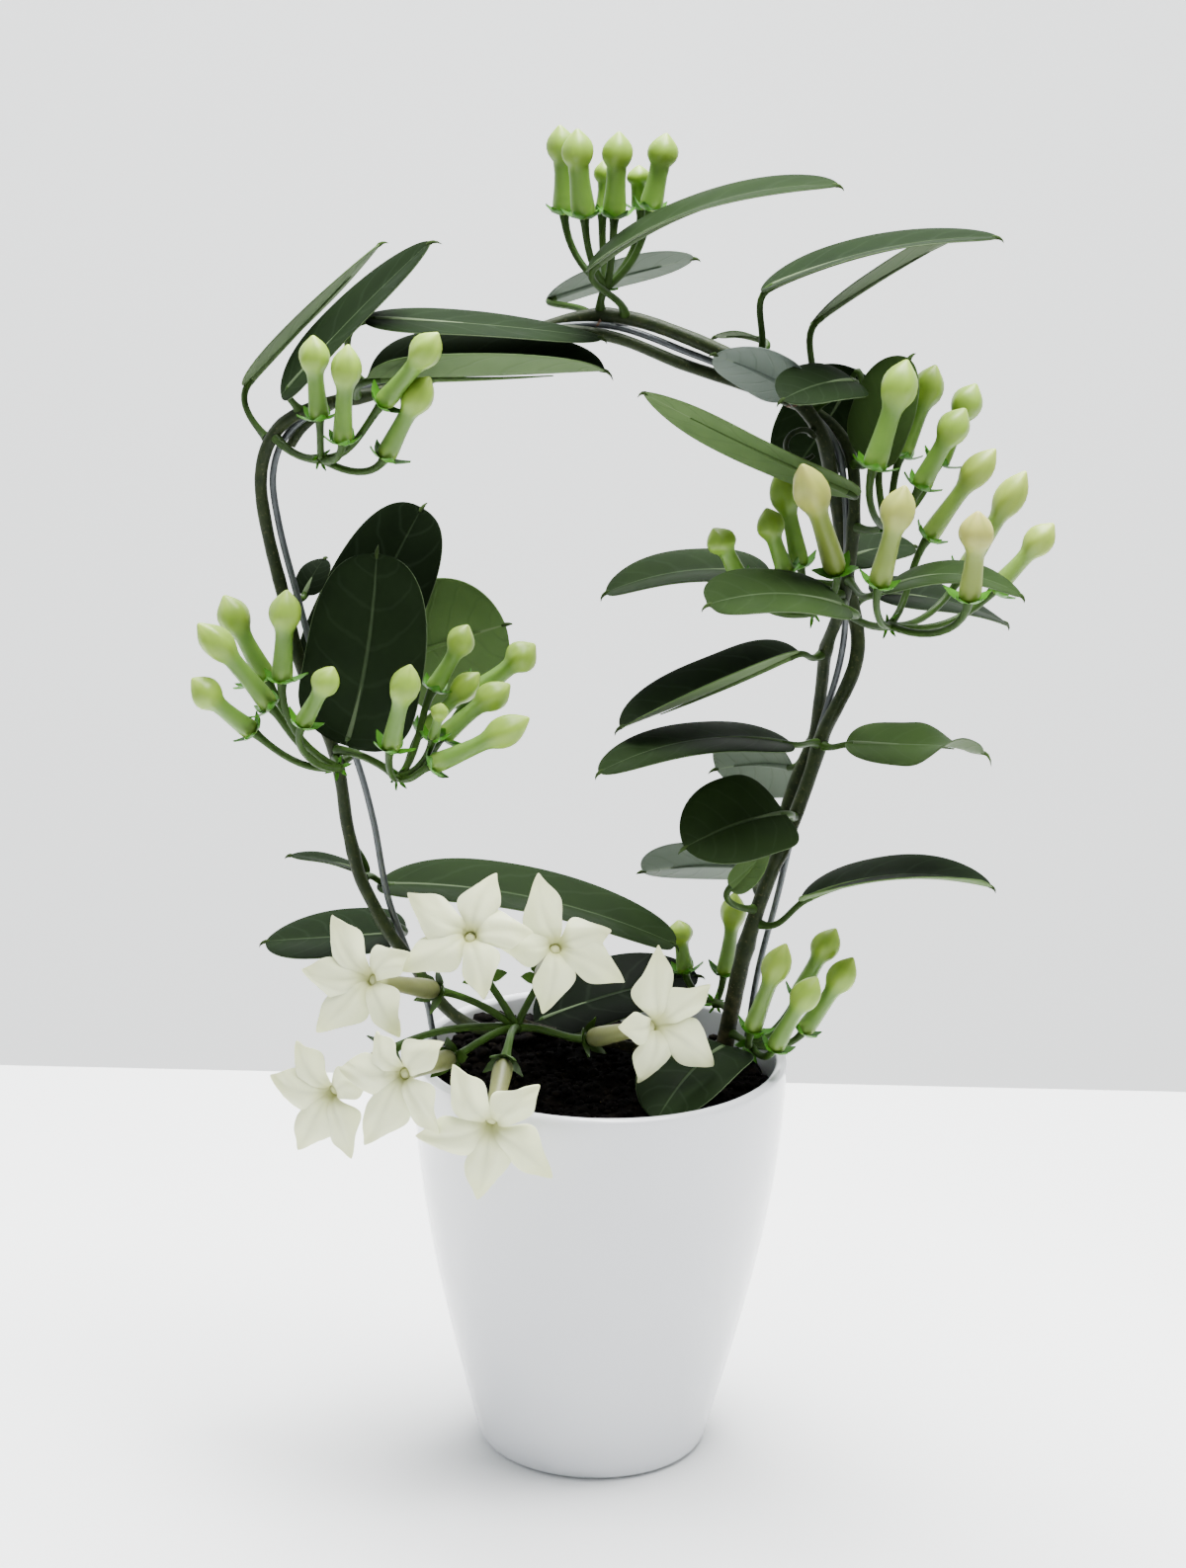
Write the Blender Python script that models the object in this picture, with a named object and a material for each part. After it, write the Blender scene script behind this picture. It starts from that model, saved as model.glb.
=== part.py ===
# Potted stephanotis: a climbing plant with leathery leaves, wound around a wire hoop in a
# white glazed pot. Metres, +Z up; the origin is the pot's axis at the plane it stands on.
# +X is to the right and -Y is the front. Places in the tables below are millimetres.
import math

import bmesh
import bpy
from mathutils import Vector

MM = 0.001
GAP = 0.3                # clearance between pieces that touch

POT_HEIGHT = 150.0
RIM_RADIUS = 67.0
BASE_RADIUS = 41.5
POT_WALL = 4.0
POT_FLOOR = 6.0
FLOOR_RADIUS = 33.5       # flat part of the floor inside
WALL_HEIGHTS = (12, 20, 35, 52, 70, 90, 110, 130)
POT_STEPS = 40
SOIL_LEVEL = 139.0

WIRE_RADIUS = 1.2
MAIN_RADIUS = 2.6        # the long stem
BASE_STEM_RADIUS = 3.6   # its woody foot
SECOND_RADIUS = 2.3
PATH_STEP = 8.5          # between the points of a stem or wire

LEAF_THICKNESS = 1.2
PETIOLE_RADIUS = 1.2
BUD_SIDES = 6
PEDICEL_RADIUS = 1.0

# The hoop, from its left foot in the soil over the top to its right foot
HOOP = [
    (-51, 0, 98), (-60, 0, 154), (-64, 0, 172), (-76, 0, 204), (-82, 0, 235), (-89, 0, 260), (-102, 0, 292),
    (-109, 0, 317), (-115, 0, 341), (-117, 0, 359), (-112, 0, 373), (-99, 0, 383), (-75, 0, 393),
    (-42, 0, 407), (-6, 0, 413), (25, 0, 404), (56, 1, 391), (74, 3, 376), (80, 6, 354), (82, 10, 316),
    (81, 13, 293), (74, 15, 263), (67, 17, 229), (62, 18, 202), (57, 19, 178), (54, 20, 154), (49, 19, 98),
]

COLOURS = {  # sRGB, roughness, metallic
    "glazed_white": ((0.86, 0.87, 0.89), 0.18, 0.0),
    "peat": ((0.12, 0.09, 0.07), 0.95, 0.0),
    "coated_wire": ((0.36, 0.37, 0.38), 0.45, 0.3),
    "stem_bark": ((0.22, 0.26, 0.15), 0.7, 0.0),
    "leaf": ((0.16, 0.27, 0.16), 0.4, 0.0),
    "bud": ((0.68, 0.76, 0.42), 0.5, 0.0),
    "petal": ((0.95, 0.94, 0.88), 0.5, 0.0),
}


def linear(channel):
    if channel <= 0.04045:
        return channel / 12.92
    return ((channel + 0.055) / 1.055) ** 2.4


def make_material(name):
    colour, roughness, metallic = COLOURS[name]
    material = bpy.data.materials.new(name)
    material.use_nodes = True
    shader = material.node_tree.nodes["Principled BSDF"]
    shader.inputs["Base Color"].default_value = (*[linear(c) for c in colour], 1.0)
    shader.inputs["Roughness"].default_value = roughness
    shader.inputs["Metallic"].default_value = metallic
    return material


def add_mesh_object(name, bm, material):
    """Turn a bmesh in millimetres into a named object in metres, smooth where it is round."""
    bmesh.ops.scale(bm, vec=(MM, MM, MM), verts=bm.verts)
    bmesh.ops.recalc_face_normals(bm, faces=bm.faces)
    mesh = bpy.data.meshes.new(name)
    bm.to_mesh(mesh)
    bm.free()
    mesh.shade_smooth()
    mesh.set_sharp_from_angle(angle=math.radians(40))
    item = bpy.data.objects.new(name, mesh)
    bpy.context.scene.collection.objects.link(item)
    item.data.materials.append(make_material(material))
    return item


def hide_helper(item):
    item.hide_render = True
    item.display_type = "WIRE"


def add_boolean(item, other, operation, use_self=False):
    cut = item.modifiers.new(operation.lower(), "BOOLEAN")
    cut.object = other
    cut.operation = operation
    cut.solver = "EXACT"
    cut.use_self = use_self


# ---- curves ----

def smooth_curve(points, step=PATH_STEP):
    """Points along a Catmull-Rom curve through the given ones, about `step` apart."""
    points = [Vector(p) for p in points]
    ends = [2 * points[0] - points[1]] + points + [2 * points[-1] - points[-2]]
    path = []
    for i in range(1, len(ends) - 2):
        a, b, c, d = ends[i - 1:i + 3]
        count = max(1, round((c - b).length / step))
        for k in range(count):
            t = k / count
            path.append(0.5 * (2 * b + (c - a) * t + (2 * a - 5 * b + 4 * c - d) * t * t
                               + (3 * b - a - 3 * c + d) * t ** 3))
    path.append(points[-1])
    return path


def hoop_frame(place):
    """Centre of the wire and its outward and backward directions at a place along HOOP's list."""
    index = min(int(place), len(HOOP) - 2)
    t = place - index
    before = Vector(HOOP[max(index - 1, 0)])
    b, c = Vector(HOOP[index]), Vector(HOOP[index + 1])
    after = Vector(HOOP[min(index + 2, len(HOOP) - 1)])
    a = before if index > 0 else 2 * b - c
    d = after if index + 2 < len(HOOP) else 2 * c - b
    centre = 0.5 * (2 * b + (c - a) * t + (2 * a - 5 * b + 4 * c - d) * t * t + (3 * b - a - 3 * c + d) * t ** 3)
    tangent = 0.5 * ((c - a) + 2 * (2 * a - 5 * b + 4 * c - d) * t + 3 * (3 * b - a - 3 * c + d) * t * t)
    tangent.normalize()
    back = Vector((0, 1, 0))
    outward = back.cross(tangent).normalized()
    outward = -outward if outward.dot(centre - Vector((-15, 0, 285))) < 0 else outward
    back = (back - back.dot(tangent) * tangent).normalized()
    return centre, outward, back


def wind(turns, radius):
    """Points that wind around the wire. Each turn is (place on the hoop, degrees, extra distance):
    0 degrees is outside the hoop, 90 behind it, 180 inside it and 270 in front."""
    path = []
    for (s0, a0, e0), (s1, a1, e1) in zip(turns, turns[1:]):
        length = (hoop_frame(s1)[0] - hoop_frame(s0)[0]).length
        count = max(1, round(length / PATH_STEP))
        for k in range(count):
            t = k / count
            centre, outward, back = hoop_frame(s0 + (s1 - s0) * t)
            angle = math.radians(a0 + (a1 - a0) * t)
            distance = WIRE_RADIUS + radius + GAP + 0.15 + e0 + (e1 - e0) * t
            path.append(centre + distance * (math.cos(angle) * outward + math.sin(angle) * back))
    return path


def add_tube(name, path, radii, material, resolution):
    """A round bar along the path, as a bevelled curve with closed ends."""
    curve = bpy.data.curves.new(name, "CURVE")
    curve.dimensions = "3D"
    curve.bevel_depth = MM
    curve.bevel_resolution = resolution
    curve.render_resolution_u = 0
    curve.use_fill_caps = True
    spline = curve.splines.new("POLY")
    spline.points.add(len(path) - 1)
    for point, place, radius in zip(spline.points, path, radii):
        point.co = (*(place * MM), 1.0)
        point.radius = radius
    item = bpy.data.objects.new(name, curve)
    bpy.context.scene.collection.objects.link(item)
    curve.materials.append(make_material(material))
    return item


def loft(bm, rings):
    """Skin a list of rings of points, all with the same count, and close both ends."""
    made = [[bm.verts.new(p) for p in ring] for ring in rings]
    for low, high in zip(made, made[1:]):
        for i in range(len(low)):
            j = (i + 1) % len(low)
            bm.faces.new((low[i], low[j], high[j], high[i]))
    bm.faces.new(list(reversed(made[0])))
    bm.faces.new(made[-1])


def tube_rings(path, radii, sides, side=None):
    """Rings of points around a path, turned as little as possible from one to the next."""
    rings = []
    tangent = (path[1] - path[0]).normalized()
    side = side or tangent.orthogonal().normalized()
    for i, (place, radius) in enumerate(zip(path, radii)):
        ahead = path[min(i + 1, len(path) - 1)] - path[max(i - 1, 0)]
        ahead.normalize()
        side = side.copy()
        side.rotate(tangent.rotation_difference(ahead))
        tangent = ahead
        up = side.cross(tangent)
        rings.append([place + radius * (math.cos(a) * side + math.sin(a) * up)
                      for a in (math.tau * k / sides for k in range(sides))])
    return rings


def bezier(a, b, c, d, count):
    return [(1 - t) ** 3 * a + 3 * (1 - t) ** 2 * t * b + 3 * (1 - t) * t * t * c + t ** 3 * d
            for t in (k / count for k in range(count + 1))]


def seat_on(stem, near, towards):
    """Where a stalk that leaves the stem near a place starts, and its direction there."""
    path, radii = stem
    best = None
    for i in range(len(path) - 1):
        run = path[i + 1] - path[i]
        t = max(0.0, min(1.0, (near - path[i]).dot(run) / run.length_squared))
        place = path[i] + t * run
        if best is None or (near - place).length < best[0]:
            best = ((near - place).length, place, run.normalized(), radii[i] + t * (radii[i + 1] - radii[i]))
    _, place, tangent, radius = best
    out = towards - place
    out = (out - out.dot(tangent) * tangent).normalized()
    return place + out * (radius + GAP), out


# ---- pot and soil ----

def pot_outer(z):
    """Outer radius of the pot at a height: a taper that swells towards an upright rim."""
    return BASE_RADIUS + (RIM_RADIUS - BASE_RADIUS) * math.sin(math.pi / 2 * z / POT_HEIGHT) ** 1.05


def turn_profile(name, profile, steps, material):
    bm = bmesh.new()
    verts = [bm.verts.new((r, 0, z)) for r, z in profile]
    edges = [bm.edges.new(pair) for pair in zip(verts, verts[1:])]
    bmesh.ops.spin(bm, geom=verts + edges, cent=(0, 0, 0), axis=(0, 0, 1), angle=math.tau, steps=steps,
                   use_merge=True)
    bmesh.ops.remove_doubles(bm, verts=bm.verts, dist=0.01)
    return add_mesh_object(name, bm, material)


def make_pot():
    foot = 5.0                       # radius of the rounded bottom edge
    outer = [(0, 0), (BASE_RADIUS - foot, 0)]
    outer += [(BASE_RADIUS - foot + (foot + 0.4) * math.sin(math.radians(a)), foot - foot * math.cos(math.radians(a)))
              for a in (30, 60)]
    outer += [(pot_outer(z), z) for z in (6, *WALL_HEIGHTS[1:], 146)]
    lip = [(RIM_RADIUS - 0.6, 149), (RIM_RADIUS - 2, POT_HEIGHT), (RIM_RADIUS - 3.6, 149)]
    inner = [(pot_outer(z) - POT_WALL, z) for z in (145, *reversed(WALL_HEIGHTS))]
    floor = [(FLOOR_RADIUS, POT_FLOOR), (0, POT_FLOOR)]
    turn_profile("pot", outer + lip + inner + floor, POT_STEPS, "glazed_white")


def soil_top(x, y):
    """Height of the soil: crumbly, and heaped a little at the back left."""
    return (SOIL_LEVEL + 1.3 * math.sin(0.21 * x + 1.0) * math.cos(0.17 * y)
            + 0.9 * math.sin(0.37 * x - 0.33 * y) + 3.0 * math.exp(-((x + 34) ** 2 + (y - 34) ** 2) / 500))


def make_soil(cutters):
    bm = bmesh.new()
    rings = []
    side = [(FLOOR_RADIUS - 1, POT_FLOOR + GAP)] + [(pot_outer(z) - POT_WALL - GAP, z) for z in WALL_HEIGHTS]
    for reach, z in side:
        rings.append([Vector((reach * math.cos(a), reach * math.sin(a), z))
                      for a in (math.tau * k / POT_STEPS for k in range(POT_STEPS))])
    for reach in (61.6, 55, 46, 36, 26, 15, 6):
        ring = []
        for k in range(POT_STEPS):
            x = reach * math.cos(math.tau * k / POT_STEPS)
            y = reach * math.sin(math.tau * k / POT_STEPS)
            ring.append(Vector((x, y, soil_top(x, y) - (2.5 if reach > 60 else 0))))
        rings.append(ring)
    loft(bm, rings)
    soil = add_mesh_object("soil", bm, "peat")
    for cutter in cutters:
        add_boolean(soil, cutter, "DIFFERENCE")


def make_cutter(name, path, radius):
    """The hole in the soil that a wire foot or a stem goes down into."""
    bm = bmesh.new()
    loft(bm, tube_rings([Vector(p) for p in path], [radius] * len(path), 8))
    cutter = add_mesh_object(name, bm, "peat")
    hide_helper(cutter)
    return cutter


# ---- stems ----

def taper(count, start, end, power=1.0):
    return [start + (end - start) * (i / (count - 1)) ** power for i in range(count)]


def make_main_stem():
    """The long stem: out of the soil at the right, around the hoop, down its left side and forward."""
    foot = smooth_curve([(42, 0, 118), (43, 1, 140), (47, 2, 168), (51, 2, 190), (57, 2, 212), (66, 4, 236),
                         (74, 8, 260)])
    turns = [(20.9, 275, 0), (20.0, 340, 1.5), (19.0, 430, 0.5), (18.0, 500, 0), (17.0, 590, 0), (16.0, 665, 0),
             (15.0, 720, 0.5), (14.0, 770, 0), (13.0, 860, 0), (12.0, 950, 0), (11.0, 1010, 0), (10.0, 1060, 0),
             (9.0, 1085, 0), (7.0, 1085, 0.5), (5.0, 1090, 2.5), (4.5, 1088, 4), (4.0, 1085, 5.5), (3.4, 1080, 4.5), (3.0, 1065, 1),
             (2.6, 1010, 0.5)]
    around = wind(turns, MAIN_RADIUS)
    tail = smooth_curve([around[-1], (-67, -8, 184), (-56, -12, 170), (-45, -14, 163), (-37, -15, 162)])[1:]
    path = foot[:-1] + around + tail
    radii = [BASE_STEM_RADIUS + (MAIN_RADIUS - BASE_STEM_RADIUS) * min(1.0, i / 12) for i in range(len(path))]
    radii[-1] = 1.8
    add_tube("main_stem", path, radii, "stem_bark", 2)
    return path, radii


def make_second_stem(main):
    """A side shoot that leaves the main stem low down and winds opposite it to the upper left."""
    start, out = seat_on(main, Vector((56, 2, 210)), Vector((57, 14, 220)))
    around = wind([(21.9, 180, 0.5), (21.0, 95, 0), (20.0, 160, 2), (19.0, 250, 1), (18.0, 320, 0),
                   (17.0, 410, 0), (16.0, 485, 0), (15.0, 540, 0.5), (14.0, 590, 0), (13.0, 680, 0),
                   (12.0, 770, 0), (11.0, 830, 0), (10.2, 850, 0), (9.6, 860, 0.5)], SECOND_RADIUS)
    path = smooth_curve([start, start + out * 3, start + out * 6 + Vector((0, 0, 4)), around[0]])[:-1] + around
    radii = taper(len(path), SECOND_RADIUS, 1.7, 2.0)
    add_tube("second_stem", path, radii, "stem_bark", 2)
    return path, radii


def make_trailing_twig(main):
    """The woody twig that crosses the soil from the main stem's foot to the flowers."""
    start, out = seat_on(main, Vector((43, 1, 146)), Vector((28, 10, 146)))
    path = smooth_curve([start, start + out * 3, (26, 10, 146), (10, 13, 147), (-8, 13, 150), (-21, 7, 155),
                         (-28, -3, 161)])
    radii = taper(len(path), 2.1, 1.6)
    add_tube("trailing_twig", path, radii, "stem_bark", 1)
    return path, radii


def make_curled_shoot(main):
    """A small shoot curled into a ring under the top right of the hoop."""
    start, out = seat_on(main, Vector((72, 0, 382)), Vector((60, -12, 380)))
    centre = start + out * 9
    ring = [centre + 5.2 * Vector((math.cos(a), 0.25 * math.sin(2 * a), math.sin(a)))
            for a in (math.radians(35 + 30 * k) for k in range(10))]
    path = [start, start + out * 2.5] + ring
    add_tube("curled_shoot", path, taper(len(path), 1.1, 0.8), "stem_bark", 1)


# ---- leaves ----

LEAF_OUTLINE = [(0.0, 0.07), (0.1, 0.56), (0.27, 0.9), (0.47, 1.0), (0.67, 0.92), (0.85, 0.6), (0.96, 0.2),
                (1.0, 0.03)]

# Name, stem, place where it leaves the stem, blade base, blade tip, width, facing, arch of the
# midrib, fold of the halves in degrees. Facing is the direction that the upper side looks, or
# the degrees that it is rolled from straight up towards the front.
LEAVES = [
    ("upper_left_outer", "main", (-117, -1, 371), (-124, 16, 388), (-79, 19, 433), 34, -14, 0, 8),
    ("upper_left_inner", "main", (-107, -3, 381), (-111, -8, 391), (-63, -18, 443), 31, 27, 1, 12),
    ("top_left_long", "second", (-85, 2, 390), (-81, -18, 417), (-5, -18, 412), 26, 8, 1, 4),
    ("top_left_folded", "main", (-88, -5, 388), (-79, -19, 397), (-4, -22, 402), 33, -8, -1, 30),
    ("crown_right", "main", (1, -2, 416), (-7, -20, 438), (71, -32, 467), 34, 5, 7, 12),
    ("crown_back", "main", (-10, 3, 416), (-22, 26, 418), (26, 40, 430), 26, -35, 1, 8),
    ("top_right_upper", "main", (47, -2, 402), (52, -4, 429), (126, -12, 448), 34, 3, 4, 12),
    ("top_right_lower", "second", (68, 5, 392), (69, 6, 417), (118, 32, 442), 32, -31, 1, 12),
    ("top_right_small", "second", (46, 6, 400), (50, 14, 407), (34, 22, 406), 12, -20, 1, 5),
    ("shoulder_grey", "main", (63, -3, 391), (60, -10, 394), (33, -16, 407), 26, -42, 1, 6),
    ("shoulder_dark", "second", (70, 4, 391), (79, -15, 399), (55, -36, 396), 26, 18, 2, 8),
    ("shoulder_back", "second", (79, 8, 372), (82, 22, 393), (62, 33, 355), 34, (2, -8, 2), 3, 6),
    ("behind_buds", "second", (83, 3, 366), (86, -11, 372), (98, -16, 407), 28, (-6, -7, 4), 2, 6),
    ("inner_right_hooked", "main", (77, 5, 358), (79, -18, 362), (9, -38, 398), 22, -28, -1, -2),
    ("inner_right_dark", "second", (78, 6, 322), (52, 4, 327), (-2, 2, 319), 42, 3, 4, 10),
    ("inner_right_front", "second", (81, 4, 317), (77, -38, 327), (32, -54, 330), 36, 12, 4, 9),
    ("outer_right_front", "second", (84, 4, 326), (94, -28, 331), (138, -36, 331), 25, 4, 6, 8),
    ("outer_right_back", "main", (84, 14, 312), (95, 25, 315), (142, 42, 301), 34, 7, 3, 8),
    ("outer_right_small", "main", (80, 13, 331), (83, 24, 328), (107, 32, 331), 20, 20, 2, 8),
    ("inner_right_two_tone", "second", (76, 12, 297), (62, -6, 300), (4, -20, 277), 43, -6, -1, 26),
    ("inner_right_lower", "main", (72, 4, 264), (60, -16, 272), (-3, -38, 266), 32, 4, 6, 7),
    ("lower_back_grey", "second", (73, 19, 262), (66, 34, 248), (40, 52, 241), 35, -60, 2, 6),
    ("lower_round_dark", "main", (65, 2, 238), (60, -23, 248), (27, -42, 241), 37, 33, 3, 14),
    ("lower_inner_grey", "second", (61, 14, 224), (58, 26, 212), (14, 40, 205), 34, -40, 2, 10),
    ("young_leaf", "main", (54, 0, 205), (45, -12, 217), (57, -15, 233), 12, (5, 5, -4), 1, 6),
    ("right_wavy", "main", (76, 8, 262), (86, -2, 268), (131, -10, 270), 34, 9, 0, 8),
    ("right_low", "main", (53, 0, 199), (73, -4, 212), (136, -10, 219), 34, 0, 6, 12),
    ("left_big_back", "main", (-99, 2, 274), (-98, 23, 271), (-67, 27, 342), 41, (-4, -9, 2), 4, 8),
    ("left_big_front", "main", (-98, -2, 272), (-90, -12, 269), (-80, -22, 337), 43, (-1, -10, 2), 3, 12),
    ("left_round", "main", (-95, 4, 256), (-75, 24, 287), (-37, 24, 301), 49, (2, 9, 1), 2, 6),
    ("left_small_back", "main", (-112, 3, 314), (-107, 12, 314), (-101, 22, 324), 12, (-4, -8, 3), 1, 5),
    ("left_sliver", "main", (-84, -2, 224), (-86, 9, 213), (-112, 10, 218), 14, -4, 1, 10),
    ("left_low_dark", "main", (-79, 0, 197), (-74, 17, 187), (-122, 22, 181), 42, 6, 0, 8),
    ("pot_long_green", "main", (-85, 2, 212), (-75, 13, 207), (26, 0, 191), 43, 3, 6, 12),
    ("pot_dark_inner", "twig", (-12, 10, 148), (-21, 21, 154), (35, 29, 169), 42, 13, 2, 12),
    ("pot_front_right", "main", (43, 1, 146), (43, -12, 157), (20, -50, 144), 36, (-1, -3, 8), 4, 14),
]


def upper_side(facing, line):
    """Unit vector that the upper side of a blade looks along, square to its midrib."""
    line = line.normalized()
    if isinstance(facing, tuple):
        facing = Vector(facing)
        return (facing - facing.dot(line) * line).normalized()
    up = (Vector((0, 0, 1)) - line.z * line).normalized()
    front = up.cross(line)
    front = front if front.y < 0 else -front
    return math.cos(math.radians(facing)) * up + math.sin(math.radians(facing)) * front


def make_leaf(name, stems, stem, near, base, tip, width, facing, arch, fold):
    """One leaf: petiole and blade in a single solid, seated on its stem."""
    base, tip = Vector(base), Vector(tip)
    facing = upper_side(facing, tip - base)
    bow = (base + tip) / 2 + 2 * arch * facing
    start, out = seat_on(stems[stem], Vector(near), base)
    leave = (bow - base).normalized()
    reach = (base - start).length * 0.4
    petiole = bezier(start, start + out * reach, base - leave * reach, base, 3)[:-1]

    rings = []
    side = leave.cross(facing).normalized()
    tilt = math.radians(fold)
    for t, share in LEAF_OUTLINE:
        centre = (1 - t) ** 2 * base + 2 * (1 - t) * t * bow + t * t * tip
        along = (2 * (1 - t) * (bow - base) + 2 * t * (tip - bow)).normalized()
        across = along.cross(facing).normalized()
        up = across.cross(along)
        half = max(width / 2 * share, 0.4)
        thick = LEAF_THICKNESS / 2 if 0.05 < t < 0.97 else min(0.9, half)
        spread, rise = half * math.cos(tilt), half * math.sin(tilt)
        crown = 0.5 * thick + 0.03 * half
        rings.append([centre - spread * across + rise * up,
                      centre - spread / 2 * across + (rise / 2 + crown) * up,
                      centre + thick * up,
                      centre + spread / 2 * across + (rise / 2 + crown) * up,
                      centre + spread * across + rise * up,
                      centre - thick * up])
    stalk = []
    tangent = leave
    for i in range(len(petiole) - 1, -1, -1):
        ahead = (petiole[i + 1] if i + 1 < len(petiole) else base) - petiole[max(i - 1, 0)]
        ahead = out if i == 0 else ahead.normalized()
        side = side.copy()
        side.rotate(tangent.rotation_difference(ahead))
        tangent = ahead
        up = side.cross(tangent)
        radius = PETIOLE_RADIUS * (1.25 if i == 0 else 1.0)
        stalk.insert(0, [petiole[i] + radius * (math.cos(a) * side + math.sin(a) * up)
                         for a in map(math.radians, (180, 135, 90, 45, 0, 270))])
    bm = bmesh.new()
    loft(bm, stalk + rings)
    add_mesh_object("leaf_" + name, bm, "leaf")


# ---- buds ----

# share of the way from calyx to tip, radius
BUD_PROFILE = [(0.0, 1.3), (0.07, 3.0), (0.17, 2.1), (0.58, 2.2), (0.76, 4.6), (0.88, 3.9), (1.0, 0.4)]

# name: stem, place where it leaves the stem, middle of the umbel, and a row for each bud with its
# calyx, its tip and its girth
BUD_CLUSTERS = {
    "crown_buds": ("main", (-5, 2, 416), (-4, 0, 426), [
        ((-19, 9, 449), (-21, 9, 479), 1.0), ((-12, -6, 450), (-15, -7, 480), 1.05),
        ((-2, -4, 450), (-1, -4, 479), 1.0), ((-6, 10, 449), (-6, 12, 467), 0.7),
        ((7, 10, 451), (6, 10, 466), 0.75), ((10, 2, 452), (15, 2, 478), 1.0)]),
    "upper_left_buds": ("main", (-113, -4, 371), (-99, -20, 369), [
        ((-99, -28, 384), (-101, -31, 413), 1.0), ((-91, -33, 377), (-89, -35, 411), 1.0),
        ((-78, -35, 391), (-59, -43, 417), 1.05), ((-77, -32, 372), (-62, -36, 401), 1.05)]),
    "left_buds": ("main", (-93, -4, 258), (-93, -20, 260), [
        ((-116, -20, 281), (-141, -22, 311), 1.05), ((-119, -2, 286), (-134, -2, 316), 1.1),
        ((-112, -26, 292), (-110, -28, 325), 1.1), ((-122, -20, 272), (-143, -24, 292), 1.05),
        ((-125, 8, 282), (-143, 14, 301), 0.95), ((-104, -41, 281), (-93, -45, 303), 0.95)]),
    "left_inner_buds": ("main", (-92, -2, 262), (-72, -24, 258), [
        ((-74, -41, 273), (-67, -47, 305), 1.0), ((-61, -14, 287), (-49, -12, 310), 0.95),
        ((-46, -4, 284), (-26, -2, 301), 1.1), ((-65, -14, 271), (-45, -12, 293), 0.9),
        ((-57, -24, 273), (-34, -22, 292), 1.0), ((-61, -32, 265), (-27, -32, 283), 1.05),
        ((-60, -30, 274), (-57, -34, 288), 0.6)]),
    "right_low_buds": ("second", (82, 4, 314), (95, -22, 316), [
        ((89, -45, 335), (96, -50, 371), 1.15), ((119, -49, 332), (120, -55, 364), 1.15),
        ((108, -4, 342), (130, -3, 374), 1.0), ((122, 8, 327), (142, 8, 364), 1.05),
        ((131, -8, 325), (151, -6, 349), 1.0)]),
    "right_inner_buds": ("second", (79, 5, 320), (69, -12, 317), [
        ((76, -25, 335), (62, -44, 376), 1.2), ((65, -4, 331), (56, -4, 365), 1.0),
        ((60, -14, 331), (52, -14, 354), 0.95), ((44, -20, 329), (34, -20, 348), 1.0)]),
    "right_high_buds": ("second", (83, 2, 344), (93, -12, 348), [
        ((86, -36, 373), (96, -34, 410), 1.2), ((91, -4, 371), (98, -3, 403), 1.0),
        ((98, 3, 369), (109, 5, 401), 1.05), ((111, 2, 367), (123, 4, 395), 1.05),
        ((103, -22, 364), (117, -24, 392), 1.05)]),
    "pot_buds": ("main", (46, 2, 158), (53, -8, 157), [
        ((53, -20, 166), (64, -22, 200), 1.0), ((70, 4, 170), (83, 4, 197), 1.0),
        ((72, -4, 160), (89, -4, 189), 1.0), ((61, -24, 161), (75, -28, 190), 1.0)]),
    "pot_back_buds": ("main", (47, 3, 166), (41, 11, 165), [
        ((44, 16, 174), (47, 15, 206), 0.9), ((30, 15, 175), (27, 15, 195), 0.9)]),
}


def make_sprays(name, stalk, ends, material):
    """Join several lofted stalks at the middle of an umbel into one body."""
    joined = bmesh.new()
    for path, radii in ends:
        loft(joined, tube_rings(path, radii, BUD_SIDES))
    sprays = add_mesh_object(name + "_sprays", joined, material)
    hide_helper(sprays)
    knob = bmesh.new()
    loft(knob, tube_rings(*stalk, BUD_SIDES))
    item = add_mesh_object(name, knob, material)
    add_boolean(item, sprays, "UNION", use_self=True)


def make_bud_cluster(name, stems, stem, near, centre, buds):
    centre = Vector(centre)
    start, out = seat_on(stems[stem], Vector(near), centre)
    reach = (centre - start).length
    stalk = bezier(start, start + out * reach * 0.4, start + out * reach * 0.3 + (centre - start) * 0.5, centre, 3)
    ahead = (stalk[-1] - stalk[-2]).normalized()
    stalk += [centre + ahead * 1.6]
    ends = []
    for calyx, tip, girth in buds:
        calyx, tip = Vector(calyx), Vector(tip)
        line = tip - calyx
        sag = Vector((0, 0, -0.12 * (calyx - centre).length))
        middle = (centre + calyx) / 2 + sag
        path = [centre, middle, calyx - line.normalized() * 1.5]
        path += [calyx + line * share for share, _ in BUD_PROFILE[1:]]
        radii = [PEDICEL_RADIUS, PEDICEL_RADIUS, 1.2] + [girth * radius for _, radius in BUD_PROFILE[1:]]
        ends.append((path, radii))
    make_sprays(name, (stalk, [1.5, 1.4, 1.4, 2.0, 1.2]), ends, "bud")


# ---- open flowers ----

FLOWER_HEART = Vector((-30, -19, 165))     # middle of the umbel of open flowers
THROAT_RADIUS = 3.4

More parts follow.
